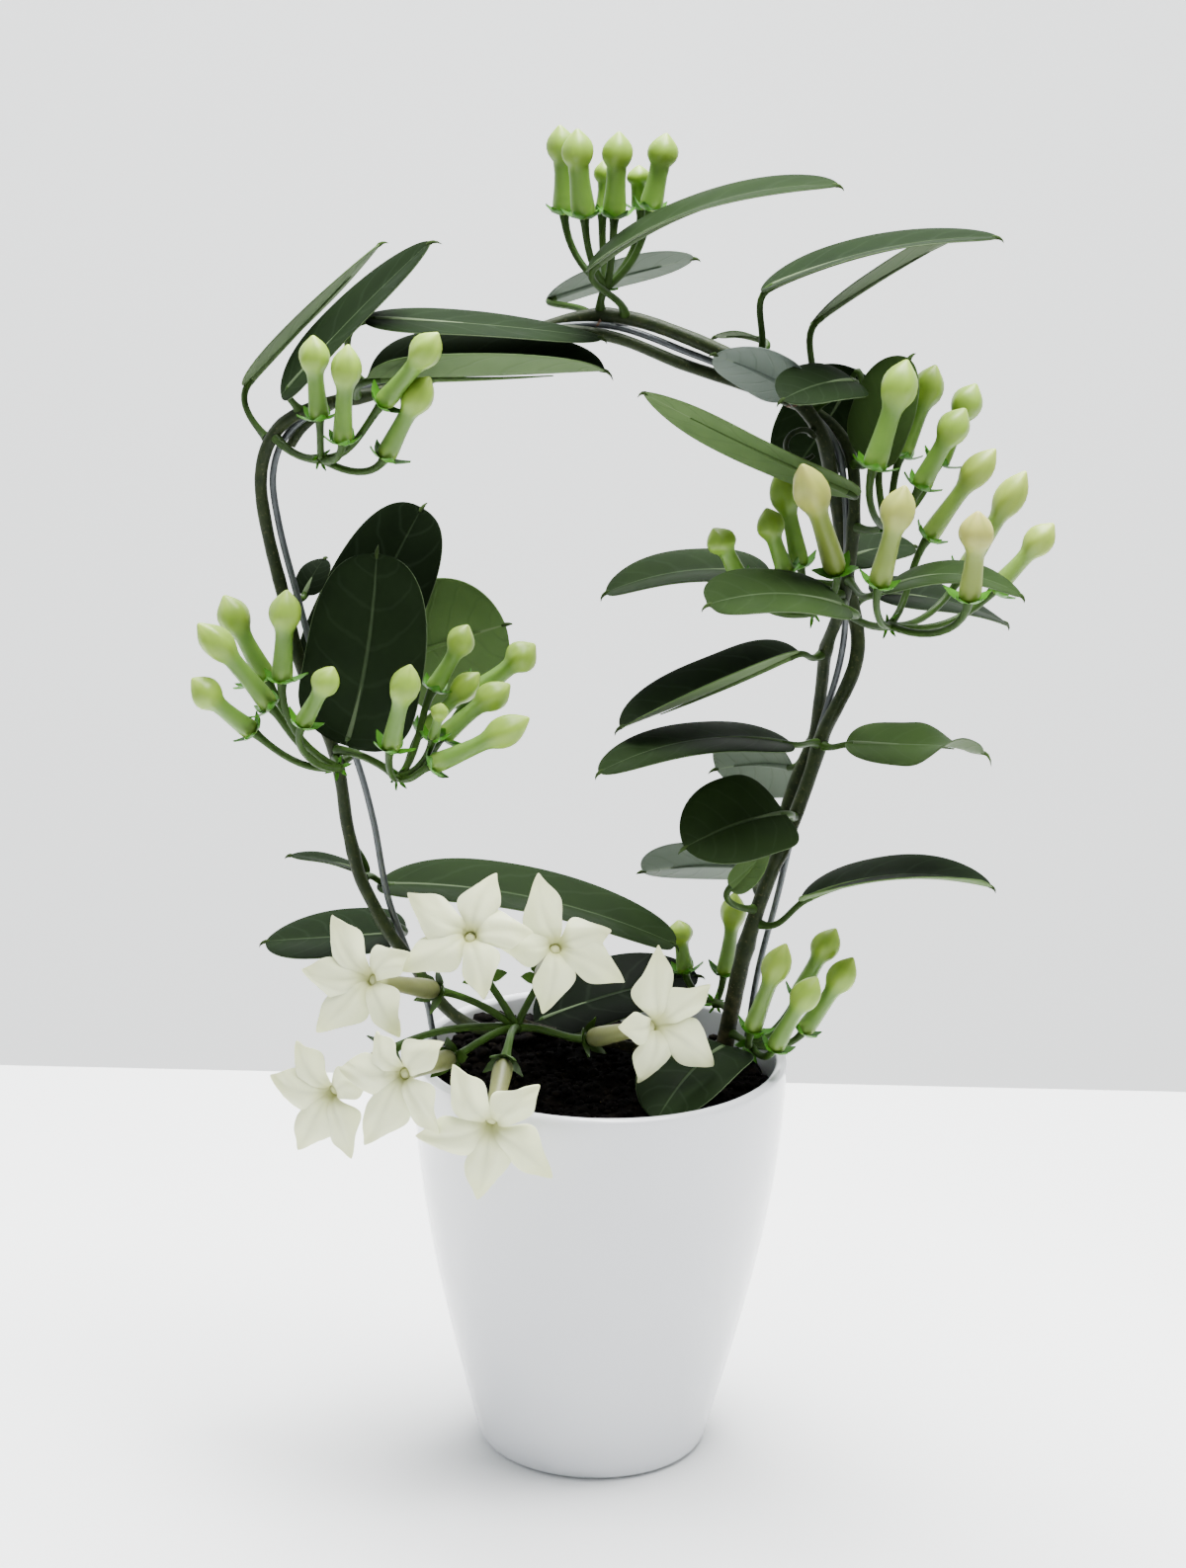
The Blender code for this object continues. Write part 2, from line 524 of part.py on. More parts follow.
# calyx, middle of the face, direction that the face looks, and each lobe's angle and length.
# An angle of 0 points right and 90 points up, seen from in front of the flower.
FLOWERS = [
    ((-58, -31, 183), (-81, -54, 195), (-4, -9, 2), [(38, 19), (133, 26), (184, 27), (231, 29), (306, 23)]),
    ((-41, -28, 188), (-46, -56, 213), (-1, -9, 4), [(6, 22), (71, 23), (151, 26), (212, 27), (287, 23)]),
    ((-21, -20, 185), (-16, -44, 205), (1, -9, 3), [(16, 20), (104, 26), (176, 22), (259, 24), (332, 27)]),
    ((-52, -47, 164), (-68, -77, 169), (-5, -8, 1), [(45, 21), (139, 18), (190, 28), (243, 33), (311, 24)]),
    ((-74, -32, 160), (-94, -56, 153), (-4, -8, 1), [(27, 17), (134, 22), (177, 25), (242, 27), (295, 24)]),
    ((-33, -60, 168), (-37, -86, 154), (-1, -9, 0), [(45, 23), (123, 25), (194, 27), (262, 28), (321, 28)]),
    ((-4, -30, 166), (20, -47, 178), (3, -9, 0), [(32, 23), (90, 28), (180, 15), (255, 23), (320, 30)]),
]


def flower_axis(calyx, face):
    return (Vector(face) - Vector(calyx)).normalized()


def make_flower_umbel(stems):
    """Peduncle, pedicels and calyces of the open flowers, in one body."""
    start, out = seat_on(stems["main"], Vector((-36, -15, 163)), FLOWER_HEART)
    ends = []
    for i, (calyx, face, _, _) in enumerate(FLOWERS):
        calyx = Vector(calyx)
        axis = flower_axis(calyx, face)
        middle = (FLOWER_HEART + calyx - axis * 8) / 2 + Vector((0, 0, 2))
        behind = FLOWER_HEART - (middle - FLOWER_HEART).normalized() * (0.5 + 0.2 * i)
        path = [behind, middle, calyx - axis * 6, calyx - axis * 4, calyx]
        ends.append((path, [1.1 + 0.04 * i, 1.2, 1.3, 2.6, 3.3]))
    ahead = (FLOWER_HEART - start - out * 2).normalized()
    stalk = [start, start + out * 2, FLOWER_HEART, FLOWER_HEART + ahead * 2]
    make_sprays("flower_stalks", (stalk, [1.5, 1.6, 2.6, 1.4]), ends, "leaf")


def make_flower(number, calyx, face, looks, lobes):
    """A waxy tube that opens into five pointed lobes."""
    calyx, face = Vector(calyx), Vector(face)
    axis = flower_axis(calyx, face)
    looks = Vector(looks).normalized()
    right = Vector((0, 0, 1)).cross(-looks).normalized() * -1
    up = looks.cross(right) * -1
    if up.z < 0:
        up = -up
    outline = []
    count = len(lobes)
    for i, (angle, length) in enumerate(lobes):
        after = lobes[(i + 1) % count][0] + (360 if i + 1 == count else 0)
        outline += [(angle - 22, length * 0.62), (angle, length), (angle + 22, length * 0.62),
                    ((angle + after) / 2, 7.0)]
    ring = [(math.radians(angle), reach) for angle, reach in outline]

    def spread(share, lift, limit=None):
        points = []
        for angle, reach in ring:
            r = reach * share if limit is None else limit
            points.append(face + looks * (lift - 0.004 * r * r)
                          + r * (math.cos(angle) * right + math.sin(angle) * up))
        return points

    start = calyx + axis * GAP
    side = right - right.dot(axis) * axis
    side.normalize()
    over = up - up.dot(axis) * axis - up.dot(side) * side
    over.normalize()

    def tube(place, radius):
        return [place + radius * (math.cos(a) * side + math.sin(a) * over) for a, _ in ring]

    rings = [tube(start, 2.4), tube(start + (face - start) * 0.3, 2.5), tube(start + (face - start) * 0.75, 2.3),
             spread(0, -2.0, THROAT_RADIUS), spread(0.62, -1.0), spread(1.0, 0.0), spread(0.62, 0.8),
             spread(0, -0.6, 1.5)]
    bm = bmesh.new()
    loft(bm, rings)
    add_mesh_object(f"flower_{number}", bm, "petal")


# ---- the whole plant ----

def main():
    for item in list(bpy.data.objects):
        bpy.data.objects.remove(item, do_unlink=True)

    wire = smooth_curve(HOOP)
    add_tube("wire_hoop", wire, [WIRE_RADIUS] * len(wire), "coated_wire", 1)
    main_stem = make_main_stem()
    second_stem = make_second_stem(main_stem)
    twig = make_trailing_twig(main_stem)
    make_curled_shoot(main_stem)
    stems = {"main": main_stem, "second": second_stem, "twig": twig}

    make_pot()
    hole = GAP + 0.3
    make_soil([
        make_cutter("left_foot_hole", [(-51 + 0.4, 0, 92), HOOP[0], HOOP[1], HOOP[2]], WIRE_RADIUS + hole),
        make_cutter("right_foot_hole", [(49, 19, 92), HOOP[-1], HOOP[-2], HOOP[-3]], WIRE_RADIUS + hole),
        make_cutter("stem_hole", [(42, 0, 116), (43, 1, 140), (47, 2, 168)], BASE_STEM_RADIUS + hole),
    ])

    for row in LEAVES:
        name, stem, near, base, tip, width, facing, arch, fold = row
        make_leaf(name, stems, stem, near, base, tip, width, facing, arch, fold)
    for name, (stem, near, centre, buds) in BUD_CLUSTERS.items():
        make_bud_cluster(name, stems, stem, near, centre, buds)
    make_flower_umbel(stems)
    for number, row in enumerate(FLOWERS, 1):
        make_flower(number, *row)


main()
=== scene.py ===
import math

import bmesh
import bpy
from mathutils import Matrix, Vector, noise


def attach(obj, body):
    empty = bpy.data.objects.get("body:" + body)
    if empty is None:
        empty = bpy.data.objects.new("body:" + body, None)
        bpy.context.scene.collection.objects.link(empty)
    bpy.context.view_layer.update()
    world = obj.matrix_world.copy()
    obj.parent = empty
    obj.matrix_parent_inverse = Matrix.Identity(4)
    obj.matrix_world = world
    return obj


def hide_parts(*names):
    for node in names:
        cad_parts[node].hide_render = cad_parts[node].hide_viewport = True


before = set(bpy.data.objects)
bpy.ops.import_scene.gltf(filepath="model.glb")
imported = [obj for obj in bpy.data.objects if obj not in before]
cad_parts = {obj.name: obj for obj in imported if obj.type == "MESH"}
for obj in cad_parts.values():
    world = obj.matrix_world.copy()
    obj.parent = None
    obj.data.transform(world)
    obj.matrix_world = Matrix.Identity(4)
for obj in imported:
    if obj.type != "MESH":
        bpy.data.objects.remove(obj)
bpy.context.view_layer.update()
print("frame loaded:", len(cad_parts), "nodes")
mm = 0.001


def linearColour(code):                 # sRGB hex to linear
    channels = [int(code[i:i + 2], 16) / 255 for i in (1, 3, 5)]
    return tuple(c / 12.92 if c <= 0.04045 else ((c + 0.055) / 1.055) ** 2.4 for c in channels) + (1.0,)


def newMaterial(name):
    material = bpy.data.materials.new(name)
    material.use_nodes = True
    material.node_tree.nodes.remove(material.node_tree.nodes["Principled BSDF"])
    return material, material.node_tree


def addNode(tree, kind, inputs=(), out=0, **settings):
    # an input takes a number, a hex colour, or the output of another node, which is linked to it
    node = tree.nodes.new("ShaderNode" + kind)
    for key, value in settings.items():
        setattr(node, key, value)
    for key, value in dict(inputs).items():
        if isinstance(value, bpy.types.NodeSocket):
            tree.links.new(value, node.inputs[key])
        else:
            node.inputs[key].default_value = linearColour(value) if isinstance(value, str) else value
    return node.outputs[out]


def shown(material, surface):               # the finished surface goes to the material's output
    material.node_tree.links.new(surface, material.node_tree.nodes["Material Output"].inputs["Surface"])
    return material


blend = {"data_type": "RGBA", "out": 2}             # for a Mix of the colours 6 and 7 by the share 0
ease = {"interpolation_type": "SMOOTHSTEP"}         # for a MapRange of 0 that goes softly from 1-2 to 3-4
times, plus, less = {"operation": "MULTIPLY"}, {"operation": "ADD"}, {"operation": "SUBTRACT"}


def glazeMaterial():
    # glazed stoneware, dipped and fired: faint mottling, a little orange peel and a clear gloss
    material, tree = newMaterial("White pot glaze")
    place = addNode(tree, "TexCoord", out="Object")
    mottle = addNode(tree, "TexNoise", {"Vector": place, "Scale": 1 / (60 * mm), "Detail": 2})
    peel = addNode(tree, "TexNoise", {"Vector": place, "Scale": 1 / (9 * mm), "Detail": 2})
    return shown(material, addNode(tree, "BsdfPrincipled", {
        "Base Color": addNode(tree, "Mix", {0: mottle, 6: "#d5d7db", 7: "#dcdee2"}, **blend),
        "Roughness": 0.16, "IOR": 1.52, "Coat Weight": 0.5, "Coat Roughness": 0.06,
        "Normal": addNode(tree, "Bump", {"Height": peel, "Distance": 0.03 * mm, "Strength": 0.5})}))


def peatMaterial():
    # damp peat: nearly black grains with drier brown patches, and no shine
    material, tree = newMaterial("Damp peat")
    place = addNode(tree, "TexCoord", out="Object")
    grain = addNode(tree, "TexNoise", {"Vector": place, "Scale": 1 / (1.6 * mm), "Detail": 6,
                                       "Roughness": 0.7})
    patch = addNode(tree, "TexNoise", {"Vector": place, "Scale": 1 / (11 * mm), "Detail": 3})
    share = addNode(tree, "MapRange", {0: grain, 1: 0.42, 2: 0.72}, **ease)
    colour = addNode(tree, "Mix", {0: share, 6: "#060505", 7: "#14110e"}, **blend)
    share = addNode(tree, "MapRange", {0: patch, 1: 0.5, 2: 0.75, 4: 0.5}, **ease)
    colour = addNode(tree, "Mix", {0: share, 6: colour, 7: "#27211a"}, **blend)
    relief = addNode(tree, "Bump", {"Height": patch, "Distance": 2.5 * mm, "Strength": 0.5})
    relief = addNode(tree, "Bump", {"Height": grain, "Distance": 0.9 * mm, "Strength": 0.9,
                                    "Normal": relief})
    return shown(material, addNode(tree, "BsdfPrincipled", {
        "Base Color": colour, "Roughness": 0.95, "Specular IOR Level": 0.05, "Normal": relief}))


def wireMaterial():
    # drawn steel wire with a thin grey coat: dull metal, slightly uneven
    material, tree = newMaterial("Grey coated steel wire")
    place = addNode(tree, "TexCoord", out="Object")
    tone = addNode(tree, "TexNoise", {"Vector": place, "Scale": 1 / (5 * mm), "Detail": 3})
    coat = addNode(tree, "TexNoise", {"Vector": place, "Scale": 1 / (0.8 * mm), "Detail": 2})
    return shown(material, addNode(tree, "BsdfPrincipled", {
        "Base Color": addNode(tree, "Mix", {0: tone, 6: "#3e4244", 7: "#5b5f61"}, **blend),
        "Metallic": 0.55, "Roughness": 0.38,
        "Normal": addNode(tree, "Bump", {"Height": coat, "Distance": 0.05 * mm, "Strength": 0.4})}))


def stemMaterial():
    # green twining stem with corky specks; the woody attribute turns it into rough brown bark
    material, tree = newMaterial("Stephanotis stem")
    place = addNode(tree, "TexCoord", out="Object")
    woody = addNode(tree, "Attribute", out="Fac", attribute_name="woody")
    streak = addNode(tree, "TexNoise", {"Vector": place, "Scale": 1 / (4.5 * mm), "Detail": 4,
                                        "Roughness": 0.6})
    speck = addNode(tree, "TexNoise", {"Vector": place, "Scale": 1 / (1.1 * mm), "Detail": 3})
    speck = addNode(tree, "MapRange", {0: speck, 1: 0.6, 2: 0.72}, **ease)
    green = addNode(tree, "Mix", {0: streak, 6: "#161f10", 7: "#263615"}, **blend)
    share = addNode(tree, "Math", {0: speck, 1: 0.25}, **times)
    green = addNode(tree, "Mix", {0: share, 6: green, 7: "#4f5230"}, **blend)
    share = addNode(tree, "MapRange", {0: streak, 1: 0.35, 2: 0.7}, **ease)
    bark = addNode(tree, "Mix", {0: share, 6: "#211d13", 7: "#4a412e"}, **blend)
    bark = addNode(tree, "Mix", {0: speck, 6: bark, 7: "#6b634a"}, **blend)
    cork = addNode(tree, "TexNoise", {"Vector": place, "Scale": 1 / (0.9 * mm), "Detail": 5,
                                      "Roughness": 0.7})
    rough = addNode(tree, "Math", {0: 0.25, 1: woody}, **plus)
    depth = addNode(tree, "Math", {0: cork, 1: rough}, **times)
    return shown(material, addNode(tree, "BsdfPrincipled", {
        "Base Color": addNode(tree, "Mix", {0: woody, 6: green, 7: bark}, **blend),
        "Roughness": addNode(tree, "Mix", {0: woody, 2: 0.42, 3: 0.8}), "Specular IOR Level": 0.15,
        "Normal": addNode(tree, "Bump", {"Height": depth, "Distance": 0.45 * mm, "Strength": 0.8})}))


veinPairs = 8.0


def leafVeins(tree, place):
    # masks of the midrib and of the side veins, and how far a point is from the midrib, on the blade's
    # own UV map; there are veinPairs side veins on each half, swept towards the tip
    along = addNode(tree, "SeparateXYZ", {0: addNode(tree, "UVMap", uv_map="blade")})
    across = addNode(tree, "Math", {0: along.node.outputs[1], 1: 2.0}, **times)
    side = addNode(tree, "Math", {0: across, 1: 1.0}, **less)
    side = addNode(tree, "Math", {0: side}, operation="ABSOLUTE")
    wide = addNode(tree, "Math", {0: 0.05, 1: addNode(tree, "Math", {0: along, 1: 0.03}, **times)}, **less)
    outside = addNode(tree, "Math", {0: side, 1: wide}, operation="DIVIDE")
    outside = addNode(tree, "MapRange", {0: outside, 1: 0.3, 2: 1.0}, **ease)
    midrib = addNode(tree, "Math", {0: 1.0, 1: outside}, **less)

    sweep = addNode(tree, "Math", {0: side, 1: 1.3}, operation="POWER")
    swept = addNode(tree, "Math", {0: along, 1: addNode(tree, "Math", {0: sweep, 1: 0.2}, **times)}, **less)
    wobble = addNode(tree, "TexNoise", {"Vector": place, "Scale": 1 / (14 * mm), "Detail": 2})
    wobble = addNode(tree, "Math", {0: wobble, 1: 0.09}, **times)
    swept = addNode(tree, "Math", {0: swept, 1: wobble}, **plus)
    phase = addNode(tree, "Math", {0: swept, 1: veinPairs}, **times)
    phase = addNode(tree, "Math", {0: phase}, operation="FRACT")
    near = addNode(tree, "Math", {0: phase, 1: 0.5}, **less)
    near = addNode(tree, "Math", {0: near}, operation="ABSOLUTE")
    outside = addNode(tree, "MapRange", {0: near, 1: 0.02, 2: 0.1}, **ease)
    vein = addNode(tree, "Math", {0: 1.0, 1: outside}, **less)
    inside = addNode(tree, "MapRange", {0: side, 1: 0.7, 2: 0.95, 3: 1, 4: 0}, **ease)
    return midrib, addNode(tree, "Math", {0: vein, 1: inside}, **times), side


def letThrough(tree, surface, colour, share):
    # a little light comes through a thin blade from its other side
    glow = addNode(tree, "BsdfTranslucent", {"Color": colour})
    return addNode(tree, "MixShader", {0: share, 1: surface, 2: glow})


def leafTopMaterial():
    # leathery upper side: deep green and satin, with a pale midrib and faint veins; its tone attribute
    # makes a leaf fresher or, below 0, darker with painted shade that also dims the midrib
    material, tree = newMaterial("Leaf upper side")
    place = addNode(tree, "TexCoord", out="Object")
    midrib, vein, side = leafVeins(tree, place)
    tone = addNode(tree, "Attribute", out="Fac", attribute_name="tone")
    cloud = addNode(tree, "TexNoise", {"Vector": place, "Scale": 1 / (16 * mm), "Detail": 3})
    green = addNode(tree, "Mix", {0: cloud, 6: "#121b0f", 7: "#1c2916"}, **blend)
    fresh = addNode(tree, "Mix", {0: cloud, 6: "#2e4120", 7: "#3d532a"}, **blend)
    colour = addNode(tree, "Mix", {0: tone, 6: green, 7: fresh}, **blend)
    # below 0 the tone mixes in near black: painted shade for leaves that lie in shade
    share = addNode(tree, "Math", {0: tone, 1: -0.8}, **times)
    colour = addNode(tree, "Mix", {0: share, 6: colour, 7: "#050805"}, **blend)
    share = addNode(tree, "Math", {0: vein, 1: 0.03}, **times)
    colour = addNode(tree, "Mix", {0: share, 6: colour, 7: "#5d7058"}, **blend)
    # the midrib fades along with the painted shade
    pale = addNode(tree, "Clamp", {0: addNode(tree, "Math", {0: tone, 1: 0.7}, **plus)})
    pale = addNode(tree, "Math", {0: addNode(tree, "Math", {0: pale, 1: 0.2}, **times), 1: 0.1}, **plus)
    share = addNode(tree, "Math", {0: midrib, 1: pale}, **times)
    colour = addNode(tree, "Mix", {0: share, 6: colour, 7: "#5d7050"}, **blend)
    # the margins are coloured lighter: a painted highlight along the leaf's rim
    edge = addNode(tree, "MapRange", {0: side, 1: 0.96, 2: 0.995, 4: 0.3}, **ease)
    colour = addNode(tree, "Mix", {0: edge, 6: colour, 7: "#4c5f34"}, **blend)
    pores = addNode(tree, "TexNoise", {"Vector": place, "Scale": 1 / (0.9 * mm), "Detail": 2})
    skin = addNode(tree, "Bump", {"Height": pores, "Distance": 0.05 * mm, "Strength": 0.35})
    skin = addNode(tree, "Bump", {"Height": vein, "Distance": -0.03 * mm, "Strength": 0.4, "Normal": skin})
    skin = addNode(tree, "Bump", {"Height": midrib, "Distance": -0.35 * mm, "Strength": 0.8,
                                  "Normal": skin})
    surface = addNode(tree, "BsdfPrincipled", {
        "Base Color": colour, "IOR": 1.4, "Specular IOR Level": 0.02, "Normal": skin,
        "Roughness": addNode(tree, "MapRange", {0: cloud, 1: 0.3, 2: 0.7, 3: 0.44, 4: 0.54}, **ease)})
    return shown(material, letThrough(tree, surface, "#3f6416", 0.05))


def leafUnderMaterial():
    # matt under side with raised veins: grey-green, greener where the under attribute is above 0 and
    # paler where it is below, partly the under side's own grey and partly painted sheen
    material, tree = newMaterial("Leaf under side")
    place = addNode(tree, "TexCoord", out="Object")
    midrib, vein, side = leafVeins(tree, place)
    under = addNode(tree, "Attribute", out="Fac", attribute_name="under")
    cloud = addNode(tree, "TexNoise", {"Vector": place, "Scale": 1 / (14 * mm), "Detail": 3})
    grey = addNode(tree, "Mix", {0: cloud, 6: "#48543f", 7: "#56634b"}, **blend)
    green = addNode(tree, "Mix", {0: cloud, 6: "#4a6236", 7: "#5a7342"}, **blend)
    colour = addNode(tree, "Mix", {0: under, 6: grey, 7: green}, **blend)
    # below 0 the under side turns pale grey: partly its own colour, partly painted sheen that lightens
    # leaves turned down into shade
    share = addNode(tree, "Math", {0: under, 1: -1.0}, **times)
    colour = addNode(tree, "Mix", {0: share, 6: colour, 7: "#79857c"}, **blend)
    share = addNode(tree, "Math", {0: vein, 1: 0.12}, **times)
    colour = addNode(tree, "Mix", {0: share, 6: colour, 7: "#39482f"}, **blend)
    share = addNode(tree, "Math", {0: midrib, 1: 0.5}, **times)
    colour = addNode(tree, "Mix", {0: share, 6: colour, 7: "#7d8d6a"}, **blend)
    pores = addNode(tree, "TexNoise", {"Vector": place, "Scale": 1 / (0.7 * mm), "Detail": 3})
    skin = addNode(tree, "Bump", {"Height": pores, "Distance": 0.05 * mm, "Strength": 0.5})
    skin = addNode(tree, "Bump", {"Height": vein, "Distance": 0.12 * mm, "Strength": 0.7, "Normal": skin})
    surface = addNode(tree, "BsdfPrincipled", {
        "Base Color": colour, "Roughness": 0.62, "IOR": 1.42, "Specular IOR Level": 0.1, "Normal": skin})
    return shown(material, letThrough(tree, surface, "#55791f", 0.12))


def greenSkinMaterial(name, cloudSize, dark, light, roughness, poreSize):
    # smooth living green of petioles, pedicels and calyces, a little cloudy
    material, tree = newMaterial(name)
    place = addNode(tree, "TexCoord", out="Object")
    cloud = addNode(tree, "TexNoise", {"Vector": place, "Scale": 1 / (cloudSize * mm), "Detail": 3})
    pores = addNode(tree, "TexNoise", {"Vector": place, "Scale": 1 / (poreSize * mm), "Detail": 3})
    return shown(material, addNode(tree, "BsdfPrincipled", {
        "Base Color": addNode(tree, "Mix", {0: cloud, 6: dark, 7: light}, **blend),
        "Roughness": roughness, "IOR": 1.4, "Specular IOR Level": 0.2,
        "Normal": addNode(tree, "Bump", {"Height": pores, "Distance": 0.08 * mm, "Strength": 0.5})}))


def budMaterial():
    # waxy closed bud: a green tube and a yellow-green head; the ripe attribute turns it cream or,
    # below 0, a deeper green
    material, tree = newMaterial("Waxy bud")
    place = addNode(tree, "TexCoord", out="Object")
    along = addNode(tree, "Attribute", out="Fac", attribute_name="along")
    ripe = addNode(tree, "Attribute", out="Fac", attribute_name="ripe")
    seam = addNode(tree, "Attribute", out="Fac", attribute_name="seam")
    cloud = addNode(tree, "TexNoise", {"Vector": place, "Scale": 1 / (5 * mm), "Detail": 3})
    tube = addNode(tree, "Mix", {0: cloud, 6: "#55772b", 7: "#638637"}, **blend)
    share = addNode(tree, "MapRange", {0: along, 1: 0.02, 2: 0.2, 3: 1, 4: 0}, **ease)
    green = addNode(tree, "Mix", {0: share, 6: tube, 7: "#7b9844"}, **blend)
    share = addNode(tree, "MapRange", {0: along, 1: 0.5, 2: 0.72}, **ease)
    green = addNode(tree, "Mix", {0: share, 6: green, 7: "#7f9d34"}, **blend)
    share = addNode(tree, "MapRange", {0: along, 1: 0.86, 2: 1.0}, **ease)
    green = addNode(tree, "Mix", {0: share, 6: green, 7: "#98b34a"}, **blend)
    share = addNode(tree, "MapRange", {0: along, 1: 0.5, 2: 0.75}, **ease)
    cream = addNode(tree, "Mix", {0: share, 6: "#7f8f3e", 7: "#a1a250"}, **blend)
    share = addNode(tree, "MapRange", {0: along, 1: 0.88, 2: 1.0}, **ease)
    cream = addNode(tree, "Mix", {0: share, 6: cream, 7: "#aca75a"}, **blend)
    colour = addNode(tree, "Mix", {0: ripe, 6: green, 7: cream}, **blend)
    share = addNode(tree, "Math", {0: ripe, 1: -0.6}, **times)
    colour = addNode(tree, "Mix", {0: share, 6: colour, 7: "#567a1f"}, **blend)
    share = addNode(tree, "Math", {0: seam, 1: 0.3}, **times)
    colour = addNode(tree, "Mix", {0: share, 6: colour, 7: "#5c7a26"}, **blend)
    pores = addNode(tree, "TexNoise", {"Vector": place, "Scale": 1 / (0.6 * mm), "Detail": 3})
    return shown(material, addNode(tree, "BsdfPrincipled", {
        "Base Color": colour, "Roughness": 0.4, "IOR": 1.44, "Specular IOR Level": 0.4,
        "Subsurface Weight": 0.25, "Subsurface Radius": (0.9, 1.0, 0.3), "Subsurface Scale": 1.5 * mm,
        "Normal": addNode(tree, "Bump", {"Height": pores, "Distance": 0.04 * mm, "Strength": 0.5})}))


def petalMaterial():
    # thick waxy ivory petals, soft to the light, with a yellow-green throat and a greener tube; the radial
    # attribute runs from 1 at a tip over 0 at the throat to -1 at the calyx
    material, tree = newMaterial("Waxy ivory petal")
    place = addNode(tree, "TexCoord", out="Object")
    radial = addNode(tree, "Attribute", out="Fac", attribute_name="radial")
    creaseShade = addNode(tree, "Attribute", out="Fac", attribute_name="creaseShade")
    cloud = addNode(tree, "TexNoise", {"Vector": place, "Scale": 1 / (7 * mm), "Detail": 3})
    white = addNode(tree, "Mix", {0: cloud, 6: "#e0e7b7", 7: "#e8eec4"}, **blend)
    share = addNode(tree, "MapRange", {0: radial, 1: 0.5, 2: 1.0, 4: 0.6}, **ease)
    white = addNode(tree, "Mix", {0: share, 6: white, 7: "#dee3a8"}, **blend)
    share = addNode(tree, "MapRange", {0: radial, 1: -0.02, 2: 0.24}, **ease)
    throat = addNode(tree, "Mix", {0: share, 6: "#bcc088", 7: white}, **blend)
    share = addNode(tree, "MapRange", {0: radial, 1: -1.0, 2: -0.3}, **ease)
    tube = addNode(tree, "Mix", {0: share, 6: "#565a38", 7: "#777b4c"}, **blend)
    share = addNode(tree, "MapRange", {0: radial, 1: -0.26, 2: -0.14}, **ease)
    colour = addNode(tree, "Mix", {0: share, 6: tube, 7: throat}, **blend)
    # a darker line down each lobe's middle near the throat: painted shade in the crease
    share = addNode(tree, "Math", {0: creaseShade, 1: 0.6}, **times)
    colour = addNode(tree, "Mix", {0: share, 6: colour, 7: "#b6bc90"}, **blend)
    pores = addNode(tree, "TexNoise", {"Vector": place, "Scale": 1 / (0.5 * mm), "Detail": 2})
    swells = addNode(tree, "TexNoise", {"Vector": place, "Scale": 1 / (3.5 * mm), "Detail": 2})
    skin = addNode(tree, "Bump", {"Height": pores, "Distance": 0.03 * mm, "Strength": 0.4})
    skin = addNode(tree, "Bump", {"Height": swells, "Distance": 0.4 * mm, "Strength": 0.55, "Normal": skin})
    return shown(material, addNode(tree, "BsdfPrincipled", {
        "Base Color": colour, "Roughness": 0.42, "IOR": 1.42, "Specular IOR Level": 0.4,
        "Subsurface Weight": 0.15, "Subsurface Radius": (1.0, 0.95, 0.7), "Subsurface Scale": 2.0 * mm,
        "Normal": skin}))


def bractMaterial():
    # papery brown bract, quite dull
    material, tree = newMaterial("Dry brown bract")
    place = addNode(tree, "TexCoord", out="Object")
    cloud = addNode(tree, "TexNoise", {"Vector": place, "Scale": 1 / (2 * mm), "Detail": 3})
    return shown(material, addNode(tree, "BsdfPrincipled", {
        "Base Color": addNode(tree, "Mix", {0: cloud, 6: "#3d2a1b", 7: "#5f4433"}, **blend),
        "Roughness": 0.75,
        "Normal": addNode(tree, "Bump", {"Height": cloud, "Distance": 0.2 * mm, "Strength": 0.6})}))


finish = {
    "glaze": glazeMaterial(), "peat": peatMaterial(), "wire": wireMaterial(), "stem": stemMaterial(),
    "leafTop": leafTopMaterial(), "leafUnder": leafUnderMaterial(),
    "stalk": greenSkinMaterial("Green stalk", 6, "#21330f", "#324d19", 0.45, 0.8),
    "calyx": greenSkinMaterial("Calyx green", 3, "#2f5c12", "#48831f", 0.4, 0.7),
    "bud": budMaterial(), "petal": petalMaterial(), "bract": bractMaterial(),
}
print("materials made")


def activate(item):
    for other in list(bpy.context.selected_objects):
        other.select_set(False)
    item.select_set(True)
    bpy.context.view_layer.objects.active = item


def applyModifiers(item):
    activate(item)
    for modifier in list(item.modifiers):
        bpy.ops.object.modifier_apply(modifier=modifier.name)


def meshObject(name, bm, materials, angle=50):
    # a bmesh in millimetres as a smooth object in metres
    bmesh.ops.scale(bm, vec=(mm, mm, mm), verts=bm.verts)
    mesh = bpy.data.meshes.new(name)
    bm.to_mesh(mesh)
    bm.free()
    for key in materials:
        mesh.materials.append(finish[key])
    mesh.shade_smooth()
    mesh.set_sharp_from_angle(angle=math.radians(angle))
    item = bpy.data.objects.new(name, mesh)
    bpy.context.scene.collection.objects.link(item)
    return item


def standFor(item, node):
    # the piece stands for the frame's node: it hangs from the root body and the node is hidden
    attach(item, "root")
    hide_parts(node)


def joinAll(name, items):
    activate(items[0])
    for item in items[1:]:
        item.select_set(True)
    bpy.ops.object.join()
    items[0].name = name
    return items[0]


def curvePoint(a, b, c, d, t):              # on the smooth curve from b to c, with a before and d after
    bend, swing = 2 * a - 5 * b + 4 * c - d, 3 * b - a - 3 * c + d
    return 0.5 * (2 * b + (c - a) * t + bend * t * t + swing * t ** 3)


